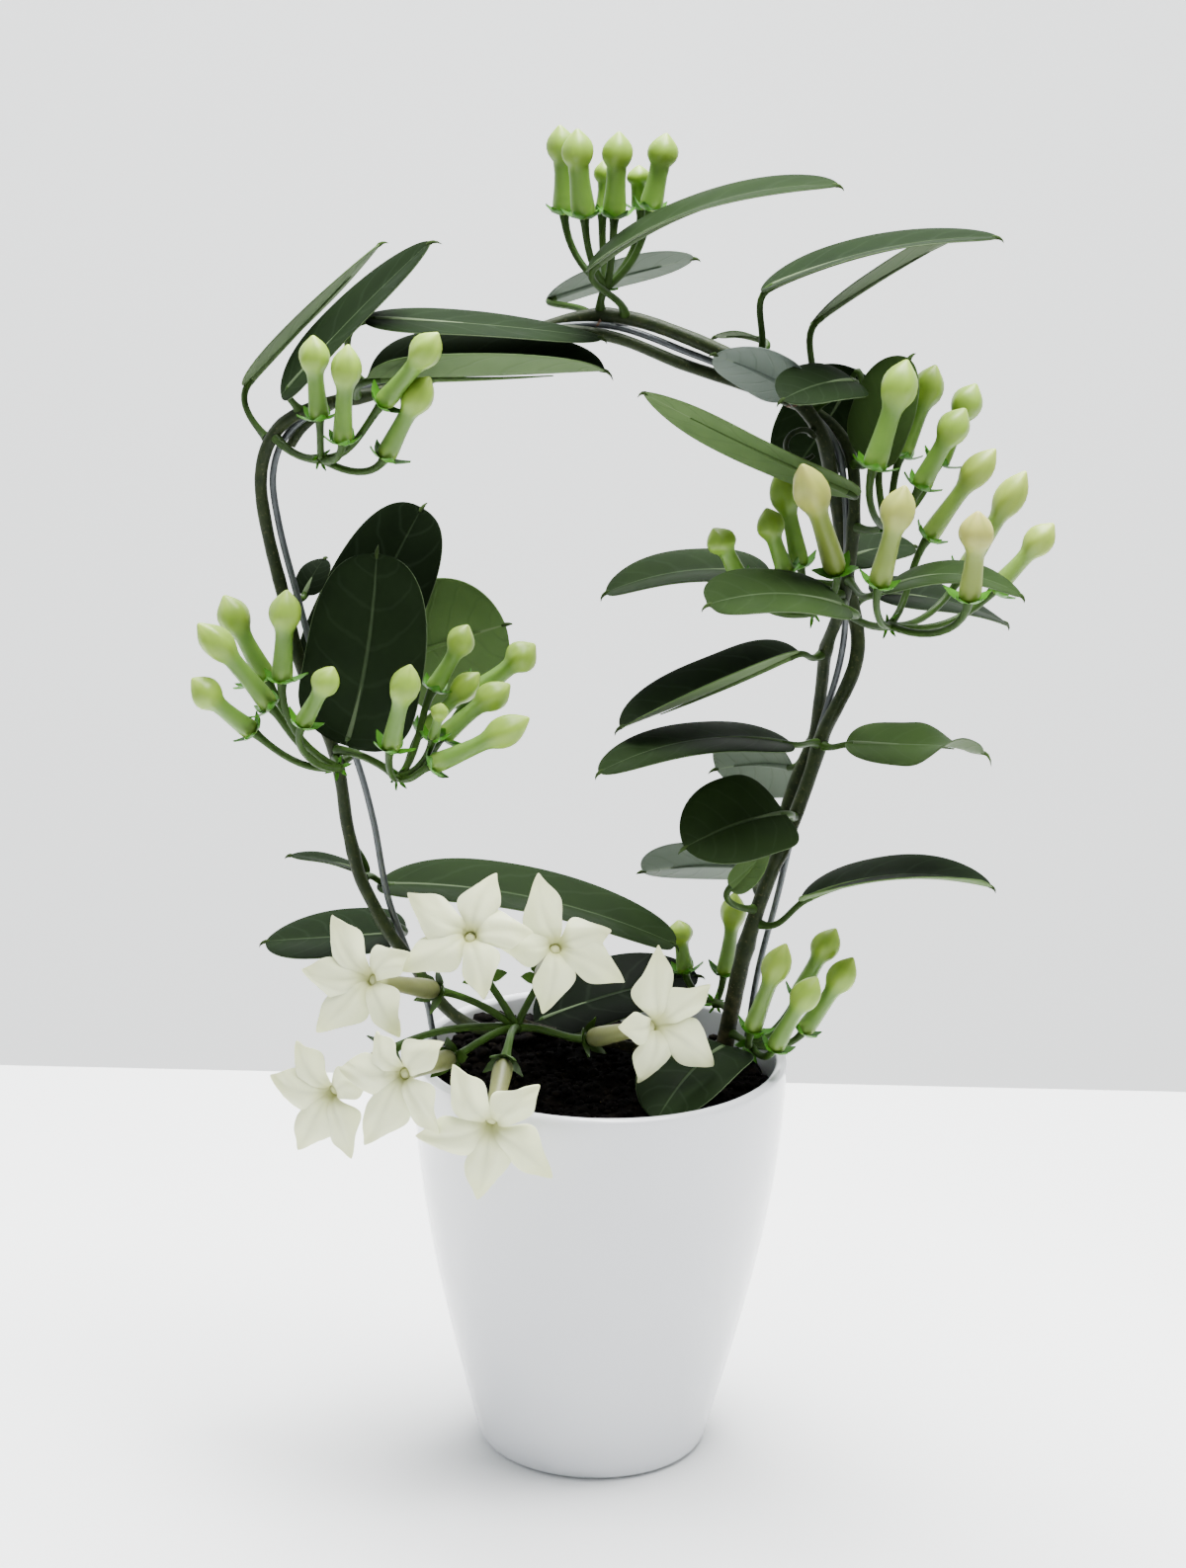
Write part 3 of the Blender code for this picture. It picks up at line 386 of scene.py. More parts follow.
def smoothPath(points, step=2.5):
    points = [Vector(p) for p in points]
    ends = [2 * points[0] - points[1]] + points + [2 * points[-1] - points[-2]]
    path = []
    for i in range(1, len(ends) - 2):
        a, b, c, d = ends[i - 1:i + 3]
        count = max(1, round((c - b).length / step))
        path += [curvePoint(a, b, c, d, k / count) for k in range(count)]
    return path + [points[-1]]


def bezierPath(a, b, c, d, count):
    return [(1 - t) ** 3 * a + 3 * (1 - t) ** 2 * t * b + 3 * (1 - t) * t * t * c + t ** 3 * d
            for t in (k / count for k in range(count + 1))]


def tubeRings(path, radii, sides):
    # rings around a path, turned as little as possible from one to the next
    rings = []
    tangent = (path[1] - path[0]).normalized()
    side = tangent.orthogonal().normalized()
    for i, (point, radius) in enumerate(zip(path, radii)):
        ahead = (path[min(i + 1, len(path) - 1)] - path[max(i - 1, 0)]).normalized()
        side = side.copy()
        side.rotate(tangent.rotation_difference(ahead))
        tangent = ahead
        up = side.cross(tangent)
        rings.append([point + radius * (math.cos(a) * side + math.sin(a) * up)
                      for a in (math.tau * k / sides for k in range(sides))])
    return rings


def addLoft(bm, rings, slot=0, values=None):
    # skin the rings and close both ends; values maps a layer's name to a number for each ring, or to
    # a list for each of its points
    floats = bm.verts.layers.float
    layers = {name: floats.get(name) or floats.new(name) for name in values or {}}
    made = []
    for i, ring in enumerate(rings):
        verts = [bm.verts.new(p) for p in ring]
        for name, layer in layers.items():
            value = values[name][i]
            for k, vert in enumerate(verts):
                vert[layer] = value[k] if isinstance(value, list) else value
        made.append(verts)
    faces = []
    for low, high in zip(made, made[1:]):
        for k in range(len(low)):
            n = (k + 1) % len(low)
            faces.append(bm.faces.new((low[k], high[k], high[n], low[n])))
    faces.append(bm.faces.new(made[0]))
    faces.append(bm.faces.new(list(reversed(made[-1]))))
    for face in faces:
        face.material_index = slot
    return faces


def addStalk(bm, path, radii, slot, sides=10):
    addLoft(bm, tubeRings(path, radii, sides), slot)


# share of the way to a sepal's point, share of its width, thickness in mm
sepalShape = [(0, 0.7, 0.5), (0.3, 1.0, 0.42), (0.6, 0.75, 0.34), (0.85, 0.35, 0.25), (1.0, 0.05, 0.08)]


def addStar(bm, centre, axis, count, length, width, rise, slot, turn, inner=1.6):
    # pointed sepals or bracts that spread around a stalk's end
    side = axis.orthogonal().normalized()
    over = axis.cross(side)
    for n in range(count):
        a = turn + math.tau * n / count
        out = math.cos(a) * side + math.sin(a) * over
        along = axis.cross(out)
        uneven = 1 + 0.22 * math.sin(n * 2.1 + turn * 5)
        rings = []
        for s, w, t in sepalShape:
            spot = centre + out * (inner + length * uneven * s) + axis * (rise * s ** 1.6 - 0.3)
            half = width / 2 * w
            rings.append([spot + along * half + axis * 0.25, spot + axis * -t * 0.3,
                          spot - along * half + axis * 0.25, spot + axis * (t * 0.2 - 0.55)])
        faces = addLoft(bm, rings, slot)
        bmesh.ops.recalc_face_normals(bm, faces=faces)


def seatOn(stem, near, towards):
    # where a stalk that leaves the stem near a point starts, and its direction there
    path, radii = stem
    place = min(range(len(path)), key=lambda i: (path[i] - near).length_squared)
    low, high = max(place - 1, 0), min(place + 1, len(path) - 1)
    tangent = (path[high] - path[low]).normalized()
    out = towards - path[place]
    out = (out - out.dot(tangent) * tangent).normalized()
    return path[place] + out * (radii[place] - 0.3), out


pot = {
    "height": 150.0, "rimRadius": 67.0, "baseRadius": 41.5, "wall": 4.0,
    "floor": 6.0, "flatFloor": 33.5,                # height and radius of the flat floor inside
    "foot": 3.2, "steps": 160,                      # radius of the rounded bottom edge, and steps around
}


def potRadius(z):                           # the wall swells from the base towards an upright rim
    share = math.sin(math.pi / 2 * max(0.0, z) / pot["height"]) ** 1.05
    return pot["baseRadius"] + (pot["rimRadius"] - pot["baseRadius"]) * share


def makePot():
    # half of the pot's section, turned about +Z by a Screw modifier: hollow foot, wall, round lip, inside
    foot, base, top, lip = pot["foot"], pot["baseRadius"], pot["height"], pot["wall"] / 2
    section = [(0, 0.5), (base - foot - 3, 0.5), (base - foot - 1.6, 0)]
    for a in (math.radians(k) for k in range(0, 90, 15)):
        section.append((base - foot + (foot + 0.2) * math.sin(a), foot - foot * math.cos(a)))
    heights = [4 + 141 * k / 46 for k in range(47)]
    section += [(potRadius(z), z) for z in heights]
    middle = pot["rimRadius"] - lip
    for a in (math.radians(k) for k in range(0, 181, 15)):
        section.append((middle + 0.99 * lip * math.cos(a), top - lip + lip * math.sin(a)))
    section += [(potRadius(z) - pot["wall"], z) for z in reversed(heights[3:])]
    section += [(pot["flatFloor"], pot["floor"]), (0, pot["floor"])]
    mesh = bpy.data.meshes.new("pot section")
    edges = [(i, i + 1) for i in range(len(section) - 1)]
    mesh.from_pydata([(r * mm, 0, z * mm) for r, z in section], edges, [])
    item = bpy.data.objects.new("potBody", mesh)
    bpy.context.scene.collection.objects.link(item)
    turn = item.modifiers.new("turn", "SCREW")
    turn.steps = turn.render_steps = pot["steps"]
    turn.use_merge_vertices = True
    turn.merge_threshold = 0.00001
    turn.use_normal_calculate = True
    applyModifiers(item)
    item.data.materials.append(finish["glaze"])
    item.data.shade_smooth()
    item.data.set_sharp_from_angle(angle=math.radians(50))
    standFor(item, "pot")


makePot()
print("pot made")


soil = {
    "level": 139.0, "gap": 0.5, "rings": 46, "steps": 150, "crumbs": 620, "seed": 7.3,
    "heap": (-36, 28), "heapHeight": 6.5,       # it is heaped up at the back left
}


def soilHeight(x, y):
    seed, (heapX, heapY) = soil["seed"], soil["heap"]
    heap = soil["heapHeight"] * math.exp(-((x - heapX) ** 2 + (y - heapY) ** 2) / 700)
    wave = 1.3 * math.sin(0.21 * x + 1.0) * math.cos(0.17 * y) + 0.9 * math.sin(0.37 * x - 0.33 * y)
    rough = 1.5 * noise.noise((x / 7, y / 7, seed)) + 0.8 * noise.noise((x / 2.2, y / 2.2, seed))
    return soil["level"] + heap + wave + rough


def makeSoil():
    bm = bmesh.new()
    around = [math.tau * k / soil["steps"] for k in range(soil["steps"])]
    reach = potRadius(soil["level"]) - pot["wall"] - soil["gap"]
    rings = []
    for z in (7, 40, 80, 120, 133):                 # down the inside of the pot
        r = potRadius(z) - pot["wall"] - soil["gap"]
        rings.append([Vector((r * math.cos(a), r * math.sin(a), z)) for a in around])
    for n in range(soil["rings"]):
        r = reach * (1 - n / soil["rings"]) - 0.3
        edge = 2.2 * math.exp(-n * 1.1)             # it sinks towards the wall
        ring = []
        for a in around:
            x, y = r * math.cos(a), r * math.sin(a)
            ring.append(Vector((x, y, soilHeight(x, y) - edge)))
        rings.append(ring)
    addLoft(bm, rings)
    bmesh.ops.recalc_face_normals(bm, faces=bm.faces)
    # crumbs lying on the surface, spread evenly by the golden angle, and larger on the heap
    for i in range(soil["crumbs"]):
        turn = i * 2.39996
        r = (reach - 2.5) * math.sqrt((i + 0.5) / soil["crumbs"])
        x, y = r * math.cos(turn), r * math.sin(turn)
        size = 0.7 + 1.5 * abs(noise.noise((i * 0.71, 3.1, 0.4))) * 2
        if x < -15 and y > 18:
            size *= 1.7
        crumb = bmesh.ops.create_icosphere(bm, subdivisions=1, radius=size)["verts"]
        centre = Vector((x, y, soilHeight(x, y) + size * 0.35))
        for vert in crumb:
            uneven = 1 + 0.7 * noise.noise(vert.co * 0.8 + Vector((i, 0, 0)))
            vert.co = centre + vert.co * Vector((1.0, 0.85, 0.7)) * uneven
    item = meshObject("soilBed", bm, ["peat"], 80)
    standFor(item, "soil")


makeSoil()
print("soil made")


hoop = {
    "radius": 1.2, "gap": 0.45,                 # the stems wind around it at this gap
    # from the left foot in the soil, over the top, to the right foot
    "points": [
        (-51, 0, 98), (-60, 0, 154), (-64, 0, 172), (-76, 0, 204), (-82, 0, 235), (-89, 0, 260),
        (-102, 0, 292), (-109, 0, 317), (-115, 0, 341), (-117, 0, 359), (-112, 0, 373), (-99, 0, 383),
        (-75, 0, 393), (-42, 0, 407), (-6, 0, 413), (25, 0, 404), (56, 1, 391), (74, 3, 376),
        (80, 6, 354), (82, 10, 316), (81, 13, 293), (74, 15, 263), (67, 17, 229), (62, 18, 202),
        (57, 19, 178), (54, 20, 154), (49, 19, 98)],
    "middle": (-15, 0, 285),                    # a place inside the hoop
}


def hoopFrame(where):
    # centre of the wire and its outward and backward directions at a place along the hoop's points
    points = hoop["points"]
    index = min(int(where), len(points) - 2)
    t = where - index
    b, c = Vector(points[index]), Vector(points[index + 1])
    a = Vector(points[index - 1]) if index > 0 else 2 * b - c
    d = Vector(points[index + 2]) if index + 2 < len(points) else 2 * c - b
    centre = curvePoint(a, b, c, d, t)
    bend, swing = 2 * a - 5 * b + 4 * c - d, 3 * b - a - 3 * c + d
    tangent = 0.5 * ((c - a) + 2 * bend * t + 3 * swing * t * t)
    tangent.normalize()
    back = Vector((0, 1, 0))
    outward = back.cross(tangent).normalized()
    if outward.dot(centre - Vector(hoop["middle"])) < 0:
        outward = -outward
    return centre, outward, (back - back.dot(tangent) * tangent).normalized()


def wind(turns, radius, step=2.5):
    # a path around the wire; a turn is (place on the hoop, degrees, extra distance), and 0 degrees is
    # outside the hoop, 90 behind it, 180 inside it and 270 in front
    path = []
    for (s0, a0, e0), (s1, a1, e1) in zip(turns, turns[1:]):
        count = max(1, round((hoopFrame(s1)[0] - hoopFrame(s0)[0]).length / step))
        for k in range(count):
            t = k / count
            centre, outward, back = hoopFrame(s0 + (s1 - s0) * t)
            angle = math.radians(a0 + (a1 - a0) * t)
            distance = hoop["radius"] + radius + hoop["gap"] + e0 + (e1 - e0) * t
            path.append(centre + distance * (math.cos(angle) * outward + math.sin(angle) * back))
    return path


def soften(path):
    # even out the corners between turns
    for _ in range(3):
        inner = [(a + 2 * b + c) / 4 for a, b, c in zip(path, path[1:], path[2:])]
        path = [path[0]] + inner + [path[-1]]
    return path


def makeStem(node, path, radii, woody, swellings=(), sides=16, bracts=()):
    # a stem with swollen nodes and, at some of them, dry bracts; woody is each point's share of bark
    shaped = []
    for point, radius in zip(path, radii):
        swell = max([math.exp(-((point - Vector(s)).length / 3.2) ** 2) for s in swellings] or [0])
        uneven = 0.06 * noise.noise(point * 0.12) + 0.03 * noise.noise(point * 0.5)
        shaped.append(radius * (1 + 0.22 * swell + uneven))
    bm = bmesh.new()
    addLoft(bm, tubeRings(path, shaped, sides), 0, {"woody": woody})
    for spot in bracts:
        near = min(range(1, len(path)), key=lambda k: (path[k] - Vector(spot)).length)
        addStar(bm, path[near], (path[near] - path[near - 1]).normalized(), 4, 3.4, 2.2, 1.4, 1, near, 2.0)
    item = meshObject(node + "Bark", bm, ["stem", "bract"], 60)
    standFor(item, node)
    return path, shaped


def makeHoop():
    path = smoothPath(hoop["points"], 3)
    bm = bmesh.new()
    addLoft(bm, tubeRings(path, [hoop["radius"]] * len(path), 14))
    standFor(meshObject("hoopWire", bm, ["wire"]), "wire_hoop")


mainStem = {
    "radius": 2.6, "footRadius": 3.6,
    # out of the soil and up to the wire, around it, and from it down to the open flowers
    "foot": [(42, 0, 118), (43, 1, 140), (47, 2, 168), (51, 2, 190), (57, 2, 212), (66, 4, 236),
             (74, 8, 260)],
    "turns": [(20.9, 275, 0), (20.0, 340, 1.5), (19.0, 430, 0.5), (18.0, 500, 0), (17.0, 590, 0),
              (16.0, 665, 0), (15.0, 720, 0.5), (14.0, 770, 0), (13.0, 860, 0), (12.0, 950, 0),
              (11.0, 1010, 0), (10.0, 1060, 0), (9.0, 1085, 0), (7.0, 1085, 0.5), (5.0, 1090, 2.5),
              (4.5, 1088, 4), (4.0, 1085, 5.5), (3.4, 1080, 4.5), (3.0, 1065, 1), (2.6, 1010, 0.5)],
    "tail": [(-67, -8, 184), (-56, -12, 170), (-45, -14, 163), (-37, -15, 162)],
    # where leaves and buds leave it, from the foot up, and which of those keep dry bracts
    "nodes": [(51, 2, 190), (62, 3, 226), (76, 8, 262), (80, 13, 331), (77, 5, 358), (63, -3, 391),
              (47, -2, 402), (-5, 2, 416), (-88, -5, 388), (-113, -4, 371), (-98, -2, 272),
              (-92, -2, 262), (-88, -2, 224), (-79, 0, 197)],
    "bracts": [(63, -3, 391), (47, -2, 402), (-5, 2, 416)],
}
secondStem = {
    "radius": 2.3, "near": (56, 2, 210), "towards": (57, 14, 220),
    "turns": [(21.9, 180, 0.5), (21.0, 95, 0), (20.0, 160, 2), (19.0, 250, 1), (18.0, 320, 0),
              (17.0, 410, 0), (16.0, 485, 0), (15.0, 540, 0.5), (14.0, 590, 0), (13.0, 680, 0),
              (12.0, 770, 0), (11.0, 830, 0), (10.2, 850, 0), (9.6, 860, 0.5)],
    "nodes": [(76, 12, 297), (83, 4, 320), (83, 2, 344), (77, 6, 385), (46, 6, 400), (-85, 2, 390)],
}
trailingTwig = {
    "radius": 2.1, "endRadius": 1.6, "near": (43, 1, 146), "towards": (28, 10, 146),
    "points": [(26, 10, 146), (10, 13, 147), (-8, 13, 150), (-21, 7, 155), (-28, -3, 161)],
    "nodes": [(-12, 12, 150)],
}
curledShoot = {
    "radius": 1.15, "endRadius": 0.7, "near": (72, 0, 382), "towards": (60, -12, 380),
    "curl": 5.2,                                    # radius of its ring
}


def makeStems():
    around = wind(mainStem["turns"], mainStem["radius"])
    tail = smoothPath([around[-1]] + mainStem["tail"])[1:]
    path = soften(smoothPath(mainStem["foot"])[:-1] + around + tail)
    thin, thick = mainStem["radius"], mainStem["footRadius"]
    radii = [thin + (thick - thin) * max(0.0, 1 - i / 42) for i in range(len(path))]
    count = len(around)
    for i in range(len(path)):                  # it thins a little on its way down the left side
        radii[i] -= 0.35 * min(1.0, max(0.0, (i - 0.72 * count) / (0.12 * count)))
    for k in range(5):
        radii[-1 - k] = 1.9 + 0.07 * k
    woody = [min(1.0, max(0.0, 1.15 - i / 24)) + 0.12 for i in range(len(path))]
    main = makeStem("main_stem", path, radii, woody, mainStem["nodes"], bracts=mainStem["bracts"])

    start, out = seatOn(main, Vector(secondStem["near"]), Vector(secondStem["towards"]))
    around = wind(secondStem["turns"], secondStem["radius"])
    branch = smoothPath([start, start + out * 3, start + out * 6 + Vector((0, 0, 4)), around[0]])
    path = soften(branch[:-1] + around)
    last = len(path) - 1
    radii = [secondStem["radius"] - 0.6 * (i / last) ** 2 for i in range(last + 1)]
    second = makeStem("second_stem", path, radii, [0.1] * len(path), secondStem["nodes"])

    start, out = seatOn(main, Vector(trailingTwig["near"]), Vector(trailingTwig["towards"]))
    path = smoothPath([start, start + out * 3] + trailingTwig["points"], 2)
    thick, thin = trailingTwig["radius"], trailingTwig["endRadius"]
    radii = [thick - (thick - thin) * i / len(path) for i in range(len(path))]
    twig = makeStem("trailing_twig", path, radii, [0.8] * len(path), trailingTwig["nodes"], 12)
    return {"main": main, "second": second, "twig": twig}


def makeCurledShoot(main):
    # a young shoot that has curled into a ring without finding the wire
    start, out = seatOn(main, Vector(curledShoot["near"]), Vector(curledShoot["towards"]))
    centre = start + out * 9.3
    ring = [centre + curledShoot["curl"] * Vector((math.cos(a), 0.25 * math.sin(2 * a), math.sin(a)))
            for a in (math.radians(35 + 10 * k) for k in range(30))]
    path = [start, start + out * 1.3, start + out * 2.6] + ring
    thick, thin = curledShoot["radius"], curledShoot["endRadius"]
    radii = [thick - (thick - thin) * i / len(path) for i in range(len(path))]
    makeStem("curled_shoot", path, radii, [0.0] * len(path), sides=10)


makeHoop()
stems = makeStems()
makeCurledShoot(stems["main"])
print("hoop and stems made")


# faces along and across the blade, its thickness, how far it runs back past the petiole, how much its
# margins roll down, and the petiole's radius
leafForm = {"along": 30, "across": 14, "thickness": 0.55, "heel": 0.06, "roll": 0.064, "petiole": 1.15}


def upperSide(facing, line):
    # direction that the upper side looks: a vector, or degrees rolled from straight up to the front
    line = line.normalized()
    if isinstance(facing, tuple):
        facing = Vector(facing)
        return (facing - facing.dot(line) * line).normalized()
    up = (Vector((0, 0, 1)) - line.z * line).normalized()
    front = up.cross(line)
    front = front if front.y < 0 else -front
    return math.cos(math.radians(facing)) * up + math.sin(math.radians(facing)) * front


def halfWidth(t, point):
    # outline of the blade, 0 to 1: rounded at the heel, pointed at the tip as much as point says
    t = min(1.0, max(0.0, t))
    heel = max(0.0, 1 - (1 - min(1.0, t / 0.33)) ** 2.6) ** 0.48
    tip = max(0.0, 1 - max(0.0, (t - 0.4) / 0.6) ** (2.5 - 0.8 * point)) ** (0.56 + 0.4 * point)
    return heel * tip


def makeLeaf(name, stem, near, base, tip, width, facing, arch, fold, twist=0.0, bend=0.0, droop=0.0,
             wave=0.5, point=-0.05, hook=1.0, lip=0.0, tone=0.0, under=0.2):
    # a petiole leaves the stem near a point, and the blade runs from base to tip; arch bows its midrib,
    # fold raises its halves by degrees, twist turns its outer half, bend bows it sideways, droop lowers
    # its end, wave ripples its margins, point and hook shape its tip and lip turns its front edge up
    base, tip = Vector(base), Vector(tip)
    up = upperSide(facing, tip - base)
    line = (tip - base).normalized()
    bow = (base + tip) / 2 + 2 * arch * up + 2 * bend * line.cross(up)
    angle = math.radians(fold)
    seed = sum(map(ord, name)) * 0.37

    def frameAt(s):
        centre = (1 - s) ** 2 * base + 2 * (1 - s) * s * bow + s * s * tip
        centre = centre - up * droop * max(0.0, (s - 0.6) / 0.4) ** 2
        along = (2 * (1 - s) * (bow - base) + 2 * s * (tip - bow)).normalized()
        across = up.cross(along).normalized()
        turned = min(1.0, max(0.0, (s - 0.45) / 0.45))
        across.rotate(Matrix.Rotation(math.radians(twist * turned * turned * (3 - 2 * turned)), 3, along))
        return centre, along, across, along.cross(across)

    bpy.ops.mesh.primitive_grid_add(
        x_subdivisions=leafForm["along"], y_subdivisions=leafForm["across"], size=2)
    blade = bpy.context.object
    blade.data.uv_layers[0].name = "blade"
    for vert in blade.data.vertices:
        t = (1 - math.cos(math.pi * (vert.co.x + 1) / 2)) / 2
        y = math.sin(math.pi / 2 * vert.co.y) * 0.5 + vert.co.y * 0.5
        s = t * (1 + leafForm["heel"]) - leafForm["heel"]
        centre, along, across, rise = frameAt(s)
        half = width / 2 * halfWidth(t, point)
        w = half * y
        lift = math.sin(angle) * (math.sqrt(w * w + 1.4) - 1.18)
        lift -= leafForm["roll"] * abs(y) ** 3 * half
        lift += wave * math.sin(5.5 * s + seed + (1.3 if y > 0 else 0)) * y * y * min(1, half / 8)
        if lip and across.y * y < 0:                # the edge nearer the front turns up
            lift += lip * max(0.0, (abs(y) - 0.45) / 0.55) ** 1.6 * min(1.0, half / 8)
        vert.co = (centre + across * w * math.cos(angle) + rise * lift) * mm
    shell = blade.modifiers.new("thickness", "SOLIDIFY")
    shell.thickness = leafForm["thickness"] * mm
    shell.offset = -1
    shell.material_offset = 1
    shell.material_offset_rim = 1
    smooth = blade.modifiers.new("smooth", "SUBSURF")
    smooth.levels = smooth.render_levels = 1
    for key in ("leafTop", "leafUnder", "stalk"):
        blade.data.materials.append(finish[key])
    applyModifiers(blade)

    # petiole, then the midrib that it becomes along the under side, and the hooked point
    start, out = seatOn(stems[stem], Vector(near), base)
    heel = base - frameAt(0)[3] * 0.7
    reach = (base - start).length * 0.4
    path = bezierPath(start, start + out * reach, heel - frameAt(0)[1] * reach, heel, 12)
    radii = [leafForm["petiole"] + 0.75 * math.exp(-k / 1.3) + 0.25 * math.exp(-(12 - k) / 1.5)
             for k in range(13)]
    bm = bmesh.new()
    addStalk(bm, path, radii, 2)
    rib, girths = [heel], [1.3]
    for k in range(1, 15):
        centre, along, across, rise = frameAt(k * 0.055)
        rib.append(centre - rise * (0.6 + 0.2 * k / 15))
        girths.append(leafForm["petiole"] * (1 - k / 15) + 0.15)
    addStalk(bm, rib, girths, 1)
    centre, along, across, rise = frameAt(0.985)
    size = 0.6 + 0.014 * width
    barb = [centre + along * (a * size) - rise * (b * size + 0.25) for a, b in
            ((-0.6, -0.1), (0.6, 0.0), (1.6, 0.25 * hook), (2.5, 0.9 * hook), (3.0, 1.8 * hook))]
    addStalk(bm, barb, [0.55, 0.8, 0.6, 0.35, 0.08], 0, 8)
    stalk = meshObject(name + "Stalk", bm, ["leafTop", "leafUnder", "stalk"])
    item = joinAll(name, [blade, stalk])
    item.data.shade_smooth()
    # tone below 0 paints shade on the upper side; under below 0 paints the under side paler, partly as
    # painted sheen
    for key, value in (("tone", tone), ("under", under)):
        layer = item.data.attributes.new(key, "FLOAT", "POINT")
        layer.data.foreach_set("value", [value] * len(item.data.vertices))
    standFor(item, "leaf_" + name)


# top of the hoop, from the left
makeLeaf("upper_left_outer", "main", (-117, -1, 371), (-126, 16, 389), (-82, 19, 436), 34, -14, 0, 8,
         point=0.1, tone=0.6, under=0.6)
makeLeaf("upper_left_inner", "main", (-107, -3, 381), (-111, -8, 391), (-63, -18, 443), 31, 27, 1, 12,
         point=0.3, hook=1.8, tone=-0.1)
makeLeaf("top_left_long", "second", (-85, 2, 390), (-81, -18, 417), (-5, -18, 412), 26, 8, 1, 4,
         tone=-0.15)
makeLeaf("top_left_folded", "main", (-88, -5, 388), (-79, -19, 397), (-4, -22, 402), 42, 4, -1, 42,
         hook=1.8, tone=-0.1, under=0.7, point=-0.1)
makeLeaf("crown_right", "main", (1, -2, 416), (-7, -20, 438), (71, -32, 467), 34, 5, 7, 12, tone=0.1)
makeLeaf("crown_back", "main", (-10, 3, 416), (-22, 26, 418), (26, 40, 430), 26, -35, 1, 8, under=-0.5)
makeLeaf("top_right_upper", "main", (47, -2, 402), (52, -4, 429), (126, -12, 448), 34, 3, 4, 12)
makeLeaf("top_right_lower", "second", (68, 5, 392), (69, 6, 417), (118, 32, 442), 32, -31, 1, 12)
makeLeaf("top_right_small", "second", (46, 6, 400), (50, 14, 407), (34, 22, 406), 12, -20, 1, 5)
# right shoulder
makeLeaf("shoulder_grey", "main", (63, -3, 391), (60, -10, 394), (33, -16, 407), 26, -42, 1, 6,
         under=-1.0)
makeLeaf("shoulder_dark", "second", (70, 4, 391), (79, -15, 399), (55, -36, 396), 26, 18, 2, 8)
makeLeaf("shoulder_back", "second", (79, 8, 372), (82, 22, 393), (62, 33, 355), 34, (2, -8, 2), 3, 6)
makeLeaf("behind_buds", "second", (83, 3, 366), (86, -11, 372), (98, -16, 407), 28, (-6, -7, 4), 2, 6,
         tone=1.0)
# right side, downwards
makeLeaf("inner_right_hooked", "main", (77, 5, 358), (79, -18, 362), (9, -38, 398), 22, -31, -1, -2,
         twist=6, point=0.3, hook=1.8, under=0.9)
makeLeaf("inner_right_dark", "second", (78, 6, 322), (52, 4, 327), (-2, 2, 319), 42, 3, 4, 10, tone=0.1)
makeLeaf("inner_right_front", "second", (81, 4, 317), (77, -38, 327), (32, -54, 330), 36, 12, 4, 9,
         tone=0.4, point=-0.5)
makeLeaf("outer_right_front", "second", (84, 4, 326), (94, -28, 331), (138, -36, 331), 25, 4, 6, 8,
         tone=0.35)
makeLeaf("outer_right_back", "main", (84, 14, 312), (95, 25, 315), (142, 42, 301), 34, 7, 3, 8,
         tone=-0.6)
makeLeaf("outer_right_small", "main", (80, 13, 331), (83, 24, 328), (107, 32, 331), 20, 20, 2, 8)
makeLeaf("inner_right_two_tone", "second", (76, 12, 297), (62, -6, 300), (4, -20, 277), 43, -6, -1, 26,
         point=-0.1, tone=-0.1, under=0.9)
makeLeaf("inner_right_lower", "main", (72, 4, 264), (60, -16, 272), (-3, -38, 266), 32, 4, 6, 7,
         tone=0.15)
makeLeaf("lower_back_grey", "second", (73, 19, 262), (66, 34, 248), (40, 52, 241), 35, -60, 2, 6,
         under=-0.35)
makeLeaf("lower_round_dark", "main", (65, 2, 238), (60, -23, 248), (27, -42, 241), 37, 33, 3, 14,
         tone=0.25)
makeLeaf("lower_inner_grey", "second", (61, 14, 224), (58, 26, 212), (14, 40, 205), 34, -40, 2, 10,
         point=-0.3, under=-0.6, hook=0.3)
makeLeaf("young_leaf", "main", (54, 0, 205), (45, -12, 217), (57, -15, 233), 12, (5, 5, -4), 1, 6,
         under=1.0)
makeLeaf("right_wavy", "main", (76, 8, 262), (86, -2, 268), (131, -10, 270), 34, 11, 0, 8, tone=0.85,
         twist=-40, hook=2.4, wave=1.0, under=0.25, point=-0.5, droop=2.5)
makeLeaf("right_low", "main", (53, 0, 199), (73, -4, 212), (136, -10, 219), 34, 0, 6, 12, lip=2.5,
         tone=-0.3, under=0.9)
# left side
makeLeaf("left_big_back", "main", (-99, 2, 274), (-98, 23, 271), (-67, 27, 342), 41, (-4, -9, 2), 4, 8,
         point=-0.4, tone=-0.7)
makeLeaf("left_big_front", "main", (-98, -2, 272), (-90, -12, 269), (-80, -22, 337), 43, (-1, -10, 2),
         3, 12, point=-0.4, bend=2.5)
makeLeaf("left_round", "main", (-95, 4, 256), (-75, 24, 287), (-37, 24, 301), 49, (2, 9, 1), 2, 6,
         under=1.0)
makeLeaf("left_small_back", "main", (-112, 3, 314), (-107, 12, 314), (-101, 22, 324), 12, (-4, -8, 3),
         1, 5, tone=-0.8)
makeLeaf("left_sliver", "main", (-84, -2, 224), (-86, 9, 213), (-112, 10, 218), 14, -4, 1, 10)
makeLeaf("left_low_dark", "main", (-79, 0, 197), (-74, 17, 187), (-122, 22, 181), 42, 6, 0, 8,
         tone=-0.2)
